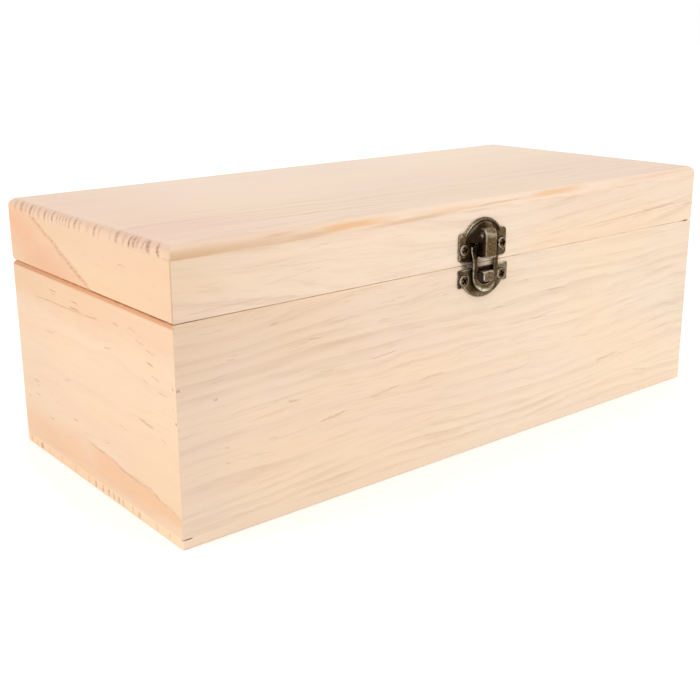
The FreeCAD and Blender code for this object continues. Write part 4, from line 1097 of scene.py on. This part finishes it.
def lid_plate_wear_and_painted_highlights(v, g, w):
    u, p, z = v.T
    # Painted highlights where the light catches: a bright arc on the rim at the upper left, a band inside it, a
    # ridge, cap, crest, glints and sparks on the nose, a brow on the dome, the nose's foot and right edge and
    # the ear's corners; the edge wear is dimmed where the plate is in shade.
    crown = np.hypot(u, z - 6.1)
    ang = np.degrees(np.arctan2(z - 6.1, u))
    lit = np.exp(-((ang - 131.0) / 17.0) ** 2)
    rim = np.exp(-((crown - 11.75) / 0.34) ** 2) * np.clip((z - 11.4) / 1.2, 0, 1) \
        * (0.10 + 0.98 * lit)
    inside = np.exp(-((crown - 10.5) / 0.40) ** 2) * np.exp(-((ang - 127.0) / 13.0) ** 2) * 0.22
    ridge = np.exp(-((u + 2.80) / 0.22) ** 2) * np.clip((p - 3.4) / 1.0, 0, 1) \
        * (0.50 + 0.50 * np.exp(-((z - 12.0) / 1.6) ** 2))
    cap = np.exp(-((z - 12.1 + 0.14 * u) / 0.95) ** 2) * np.clip((p - 3.0) / 1.0, 0, 1) \
        * np.clip((3.6 - np.abs(u)) / 1.2, 0, 1) * 0.52
    crest = np.clip((z - 12.6) / 1.0, 0, 1) * np.clip((15.0 - z) / 0.6, 0, 1) \
        * np.clip((3.6 - np.abs(u)) / 0.8, 0, 1) * np.clip((p - 2.2) / 0.6, 0, 1) * 0.15
    brow = np.exp(-((u - 2.2) / 2.4) ** 2) * np.exp(-((z - 16.0) / 1.3) ** 2) * (p > 1.0) * 0.12
    hide = 1.0 - np.clip((10.6 - crown) / 0.5, 0, 1) * (u < -3.6)
    hide = hide * np.where(u > 3.6, 0.6, 1.0)
    hide = hide * np.where((crown > 10.9) & (z > 11.6), 0.25 + 0.75 * lit, 1.0)
    hide = hide * np.where((u < -12.4) & (z < 11.2), 0.30, 1.0)
    foot = np.exp(-((z - 2.9) / 0.35) ** 2) * np.clip((p - 3.5) / 1.0, 0, 1) * 0.5
    glint = np.exp(-((u + 2.9) / 0.30) ** 2) * np.exp(-((z - 12.5) / 1.2) ** 2) * np.clip((p - 2.8) / 1.0, 0, 1)
    spark = np.exp(-((p - 3.9) / 0.40) ** 2) * np.exp(-((z - 12.1) / 0.8) ** 2) * (u < -3.3) * 0.85
    right = np.exp(-((u - 3.45) / 0.20) ** 2) * np.clip((p - 3.4) / 1.0, 0, 1) * 0.34
    ear = np.exp(-((u + 12.7) / 0.9) ** 2 - ((z - 12.4) / 0.8) ** 2) * (p > 0.3) * 0.62 \
        + np.exp(-((u + 13.1) / 0.45) ** 2 - ((z - 3.2) / 1.5) ** 2) * (p > 0.3) * 0.40
    return np.maximum.reduce([w * hide, rim, inside, ridge * 0.72, cap, crest, brow, foot,
                              glint, spark, right, ear])


latch_piece("latch_lid_plate_pressed", lid_plate_f, (-14.2, -0.35, 0.9), (14.2, 6.0, 19.1),
            0.14, LID_PLATE_X, BRONZE, "lid", ["latch_lid_plate"],
            lid_plate_patina_and_painted_shade, lid_plate_wear_and_painted_highlights)


# --- hasp --------------------------------------------------------------------------
def hasp_f(u, p, z):
    up = np.clip((z - 1.0) / 5.0, 0, 1)
    up = up * up * (3 - 2 * up)
    wide = 0.55 * up                       # the arms spread and lean back at the top
    outer = np.where(z > -4.7, np.abs(u) - 7.1 - wide, np.hypot(u, z + 4.7) - 7.1)
    outer = np.maximum(outer, z - PIVOT_Z)
    wcz = (-8.6 + 12.0) / 2
    window = box2(u, z, 0, wcz, 4.7, wcz + 8.6, 4.1)
    window = np.where(z > 0, np.abs(u) - 4.7 - wide * 1.3, window)
    ring2 = np.maximum(outer, -window)
    lip = np.clip((-7.6 - z) / 4.2, 0, 1)
    pc = PIVOT_P + 1.25 * lip * lip - 0.50 * up
    half = 0.52 - 0.14 * up
    rim = 0.16 * np.exp(-(outer / 0.55) ** 2) * (1 - up)
    body = smax(ring2, np.abs(p - pc - rim * 0.5) - half, 0.42)
    bar = np.maximum(np.hypot(p - PIVOT_P, z - PIVOT_Z) - 0.74, np.abs(u) - 7.05)
    return smin(body, bar, 0.3)


def hasp_patina_and_painted_shade(v, g):
    u, p, z = v.T
    # Painted shade: darker on the faces turned to the wood, towards the top where the arms go under the dome,
    # and on both arms above the bottom bar.
    inner = np.clip((g[:, 1] * -1 - 0.2) / 0.5, 0, 1) * 0.8
    top = np.clip((z + 1.0) / 4.0, 0, 1) * 0.70 + np.clip((z - 4.0) / 1.5, 0, 1) * 0.30
    right = np.clip((u - 3.5) / 1.0, 0, 1) * np.clip((z + 7.5) / 2.0, 0, 1) * 0.45
    left = np.clip((-4.0 - u) / 0.8, 0, 1) * np.clip((z + 7.5) / 3.0, 0, 1) * 0.60
    return np.maximum.reduce([inner, top, right, left])


def hasp_wear_and_painted_highlights(v, g, w):
    u, p, z = v.T
    # Painted highlights: the lower lip and the left edge of the ring are brightest where they face the light;
    # the edge wear is dimmed on the right and towards the top, where the ring is in shade.
    lip = np.clip((-8.3 - z) / 1.2, 0, 1) * np.exp(-((np.hypot(u, z + 4.7) - 6.45) / 0.60) ** 2) \
        * np.clip(g[:, 1] / 0.3, 0, 1)
    up = np.clip((z - 1.0) / 5.0, 0, 1)
    edge = np.exp(-((u + 6.98 + 0.55 * up * up * (3 - 2 * up)) / 0.19) ** 2) \
        * np.clip(-g[:, 0] / 0.3, 0, 1) * (z > -7) * (p > 1.0)
    w = w * np.where(u > 2.5, 0.35, 1.0) * np.clip((3.4 - z) / 3.0, 0.12, 1)
    ang = np.degrees(np.arctan2(-4.7 - z, -u))           # 0 at the left, 90 at the bottom
    lip = lip * (0.40 + 0.75 * np.exp(-((ang - 70.0) / 32.0) ** 2))
    edge = edge * (0.40 + 0.62 * np.exp(-((z - 5.4) / 1.7) ** 2) + 0.25 * np.exp(-((z + 1.5) / 2.0) ** 2))
    return np.maximum.reduce([w * 0.62, lip, edge])


latch_piece("latch_hasp_ring", hasp_f, (-8.2, 0.5, -12.9), (8.2, 3.3, 8.6), 0.12,
            HASP_X, BRONZE, "hasp", ["latch_hasp"], hasp_patina_and_painted_shade, hasp_wear_and_painted_highlights)


# --- catch plate with the bent-out tongue --------------------------------------------
def catch_f(u, p, z):
    outline = smin(np.hypot(u, z + 0.3) - 14.0, box2(u, z, 0, -5.4, 14.05, 3.7, 0.7), 0.8)
    outline = smax(outline, z + 1.7, 0.4)
    plate = slab2(outline, p, 0.0, 0.8, 0.45)
    hole = np.maximum(box2(u, z, 0, -6.7, 2.9, 2.8, 0.5), -1.0)
    plate = smax(plate, -hole, 0.2)
    out = box2(p, z, 0.6, -8.0, 3.6, 5.0, 1.3)
    inn = box2(p, z, -0.3, -8.4, 3.6, 4.5, 0.4)
    prof = np.maximum(np.maximum(out, -inn), -p)
    tong = box2(u, z, -0.15, -1.3, 2.9, 6.0, 1.1)
    tongue = smax(prof, tong, 0.45)
    d = smin(plate, tongue, 0.35)
    for su, sz, _ in CP_SCREWS:
        r = np.hypot(u - su, z - sz)
        dish = np.maximum((r - 2.75) * 0.7 + (0.8 - p) * 0.7, 0.42 - p)
        d = smax(d, -dish, 0.15)
        d = np.maximum(d, -(r - 1.02))
    return d


def catch_patina_and_painted_shade(v, g):
    u, p, z = v.T
    # Painted shade on the tongue's sides, in the window, behind the plate, round and above the ring and in
    # crescents round the screws; also darker over the middle of the plate and at its left edge.
    side = np.clip((np.abs(g[:, 0]) - 0.5) / 0.3, 0, 1) * np.clip((p - 0.9) / 0.3, 0, 1) * 0.55
    window = np.clip((5.2 - np.abs(u)) / 0.8, 0, 1) * (p < 1.0) * np.clip((z + 9.6) / 0.8, 0, 1)
    back = np.clip((0.4 - p) / 0.3, 0, 1) * 0.6
    halo = np.exp(-(np.maximum(np.abs(u) - 6.9, 0) / 1.3) ** 2) * (p < 1.0) * 0.62 \
        * np.clip((z + 12.5) / 2.0, 0, 1)
    upper = np.exp(-(np.maximum(np.abs(u) - 7.2, 0) / 1.8) ** 2) * (p < 1.0) \
        * np.clip((z + 7.0) / 3.5, 0, 1) * 0.9
    body = (p < 1.0) * np.clip((11.8 - np.abs(u)) / 3.0, 0, 1) * 0.30 * np.clip((z + 12.0) / 3.0, 0.2, 1)
    moons = np.zeros_like(u)
    for su, sz, _ in CP_SCREWS:
        r = np.hypot(u - su, z - sz)
        moons = np.maximum(moons, np.exp(-((r - 2.95) / 0.36) ** 2)
                           * np.clip((su - u) / 1.6 + 0.5, 0, 1) * 0.85)
    edge = np.clip((-13.0 - u) / 0.4, 0, 1) * 0.75
    return np.maximum.reduce([side, window, back, halo, upper, body, moons, edge])


def catch_wear_and_painted_highlights(v, g, w):
    u, p, z = v.T
    # Painted highlights on the tongue's top, its left corner and side and its face; lighter also on the right
    # ear and the foot; the edge wear is held down near the ring and at the far ends.
    knob = np.exp(-((z + 3.3) / 0.36) ** 2) * (np.abs(u) < 3.0) * np.clip((p - 2.6) / 0.8, 0, 1) * 0.85
    corner = np.exp(-((u + 2.7) / 0.38) ** 2) * np.exp(-((z + 3.4) / 0.7) ** 2) * (p > 1.6)
    side = np.exp(-((u + 2.75) / 0.22) ** 2) * (p > 3.4) * (z > -9.0) * 0.62
    face = (np.abs(u + 0.1) < 2.4) * (p > 4.0) * 0.08
    ear = np.clip((u - 8.0) / 1.5, 0, 1) * (p > 0.6) * 0.20
    foot = np.clip((-11.6 - z) / 1.2, 0, 1) * (p > 0.6) * 0.12
    w = w * np.where(p > 1.2, 0.8, np.clip((np.abs(u) - 6.5) / 3.0, 0.15, 1.0))
    w = w * np.where(u < -12.4, 0.15, 1.0) * np.where(u > 12.6, 0.45, 1.0)
    return np.maximum.reduce([w, knob, corner, side, face, ear, foot])


latch_piece("latch_catch_plate_pressed", catch_f, (-14.7, -0.35, -15.0), (14.7, 4.8, -1.2),
            0.14, CATCH_X, BRONZE, "box", ["latch_catch_plate"], catch_patina_and_painted_shade,
            catch_wear_and_painted_highlights)


# --- latch screws: raised heads, cross recess, threaded shanks ------------------------
def screw_f(turn):
    ca, sa = math.cos(math.radians(turn)), math.sin(math.radians(turn))

    def f(u, p, z):
        r = np.hypot(u, z)
        head = np.maximum(np.sqrt(u * u + z * z + (p - (1.5 - 4.4)) ** 2) - 4.4, 0.55 - p)
        head = smax(head, r - 2.38, 0.3)
        a, b = np.abs(u * ca + z * sa), np.abs(-u * sa + z * ca)
        depth = 1.5 - p
        arm = np.minimum(np.maximum(a - 1.42, b - 0.40), np.maximum(b - 1.42, a - 0.40))
        cross = np.maximum(arm + depth * 0.16, 0.62 - p)
        head = smax(head, -cross, 0.08)
        ang = np.arctan2(z, u) / (2 * math.pi)
        thread = 0.16 * np.abs(((p / 0.9 + ang) % 1.0) - 0.5)
        taper = np.clip((-3.9 - p) / 2.4, 0, 1)
        shank = np.maximum(r - (1.0 - thread) * (1 - taper) - 0.12 * taper,
                           np.maximum(-6.15 - p, p - 0.7)) * 0.8
        return np.minimum(head, shank)
    return f


def screw_set(name, places, xc, body, node):
    vs, fs, ws, gs, n = [], [], [], [], 0
    for su, sz, turn in places:
        f = screw_f(turn)
        v, faces = surface(f, (-2.7, -6.4, -2.7), (2.7, 1.8, 2.7), 0.085)
        curv = curvature(f, v, 0.12)
        wear_and_painted_highlight = np.clip((curv - 1.2) / 2.6, 0, 1) * (v[:, 1] > 0.6)
        rr = np.hypot(v[:, 0], v[:, 2])
        # Painted highlight: a bright ring on each head, strongest towards the upper left where the light is.
        lit = np.clip(0.62 - 0.16 * v[:, 0] + 0.05 * v[:, 2], 0.25, 1.0)
        wear_and_painted_highlight = np.maximum(wear_and_painted_highlight, 0.56 * np.exp(-((rr - 2.05) / 0.26) ** 2) * (v[:, 1] > 0.75)) * lit
        ang = math.radians(turn)
        a = np.abs(v[:, 0] * math.cos(ang) + v[:, 2] * math.sin(ang))
        b = np.abs(-v[:, 0] * math.sin(ang) + v[:, 2] * math.cos(ang))
        arm = np.minimum(np.maximum(a - 1.42, b - 0.40), np.maximum(b - 1.42, a - 0.40))
        top = np.sqrt(np.maximum(4.4 ** 2 - rr ** 2, 0)) - 2.9
        inn = (arm < 0.06) & (v[:, 1] < top + 0.02) & (v[:, 1] > 0.5)
        wear_and_painted_highlight = wear_and_painted_highlight * np.clip((arm - 0.10) / 0.25, 0, 1)
        gr = np.where(inn, 1.0, np.maximum(np.exp(-((rr - 1.45) / 0.45) ** 2) * 0.50,
                                           np.clip((0.22 - arm) / 0.22, 0, 1) * 0.8))
        gr = np.maximum(gr, (v[:, 1] < 0.72) * 0.8)
        vs.append(np.stack([xc + su + v[:, 0], FRONT - v[:, 1], SEAM_Z + sz + v[:, 2]], 1) / 1000.0)
        fs.append(faces[:, ::-1] + n)
        ws.append(wear_and_painted_highlight)
        gs.append(gr)
        n += len(v)
    return add_mesh(name, np.concatenate(vs), np.concatenate(fs), BRONZE_SCREW, body,
                    [node],
                    {"wear_and_painted_highlight": np.concatenate(ws), "patina_and_painted_shade": np.concatenate(gs)})


screw_set("latch_lid_screws_cut", LP_SCREWS, LID_PLATE_X, "lid", "latch_lid_screws")
screw_set("latch_catch_screws_cut", CP_SCREWS, CATCH_X, "box", "latch_catch_screws")

# ---------------------------------------------------------------------------
# Carried-over CAD nodes: finish, welded corners and slightly broken edges
# ---------------------------------------------------------------------------
REPLACED = {"latch_lid_plate", "latch_hasp", "latch_catch_plate",
            "latch_lid_screws", "latch_catch_screws"}
for n, o in NODES.items():
    if n in REPLACED:
        continue
    mat = material_for(n)
    wooden = mat is not None
    if mat is None:
        mat = PIN if n.endswith("_pin") else BRONZE_HINGE
    o.data.materials.clear()
    o.data.materials.append(mat)
    for p in o.data.polygons:
        p.use_smooth = True
    wl = o.modifiers.new("weld", "WELD")
    wl.merge_threshold = 2e-6
    bv = o.modifiers.new("eased_edges", "BEVEL")
    bv.width = 0.00010 if wooden else 0.00008
    bv.segments = 2
    bv.limit_method = "ANGLE"
    bv.angle_limit = math.radians(38)
    bv.harden_normals = False
    bv.use_clamp_overlap = True

# ---------------------------------------------------------------------------
# Floor, light, camera
# ---------------------------------------------------------------------------
me = bpy.data.meshes.new("floor")
s = 6.0
me.from_pydata([(-s, -s, 0), (s, -s, 0), (s, s, 0), (-s, s, 0)], [], [(0, 1, 2, 3)])
floor = bpy.data.objects.new("floor", me)
bpy.context.scene.collection.objects.link(floor)
floor.location.z = -0.00005
fm, FT, fb = new_material("floor_white")
tcf = FT.node("ShaderNodeTexCoord")
fn = FT.noise(tcf.outputs["Object"], 3.0, 2.0, 0.5)
FT.put(fb.inputs["Base Color"], FT.mix(fn, (0.955, 0.955, 0.955, 1), (0.965, 0.965, 0.965, 1)))
fb.inputs["Emission Color"].default_value = (1.0, 1.0, 1.0, 1.0)
fb.inputs["Emission Strength"].default_value = 0.11
fb.inputs["Roughness"].default_value = 0.9
fb.inputs["Specular IOR Level"].default_value = 0.1
me.materials.append(fm)

world = bpy.data.worlds.new("studio")
bpy.context.scene.world = world
world.use_nodes = True
world.node_tree.nodes["Background"].inputs[0].default_value = (1.0, 1.0, 1.0, 1.0)
world.node_tree.nodes["Background"].inputs[1].default_value = 1.0


def area(name, loc, target, size, power, colour=(1, 1, 1)):
    li = bpy.data.lights.new(name, "AREA")
    li.shape = "RECTANGLE"
    li.size, li.size_y = size
    li.energy = power
    li.color = colour
    ob = bpy.data.objects.new(name, li)
    bpy.context.scene.collection.objects.link(ob)
    ob.location = loc
    d = Vector(target) - Vector(loc)
    ob.rotation_mode = "QUATERNION"
    ob.rotation_quaternion = d.to_track_quat("-Z", "Y")
    return ob


area("key_left", (-1.3, 0.1, 0.8), (0, 0, 0.05), (0.8, 0.8), 2.4)
area("top", (-0.1, 0.0, 1.5), (0, 0, 0.05), (1.4, 1.4), 1.6)
area("spark", (-0.75, -1.05, 1.05), (0, 0, 0.08), (0.26, 0.26), 1.5)

cam = bpy.data.cameras.new("camera")
cam_ob = bpy.data.objects.new("camera", cam)
bpy.context.scene.collection.objects.link(cam_ob)
cam.sensor_fit = "HORIZONTAL"
cam.sensor_width = 36.0
cam.lens = 54.358
cam.shift_x = 28.0 / 700
cam.shift_y = -35.0 / 700
right = Vector((0.787086, -0.616758, -0.01028))
down = Vector((-0.172881, -0.204566, -0.963465))
fwd = Vector((0.592122, 0.760107, -0.267637))
M = Matrix((right, -down, -fwd)).transposed().to_4x4()
M.translation = Vector((-0.30912, -0.35553, 0.17549))
cam_ob.matrix_world = M
cam.clip_start, cam.clip_end = 0.01, 50.0
bpy.context.scene.camera = cam_ob

sc = bpy.context.scene
sc.view_settings.view_transform = "Standard"
sc.view_settings.look = "None"
sc.view_settings.exposure = 0.0
sc.view_settings.gamma = 1.0
sc.cycles.use_denoising = True
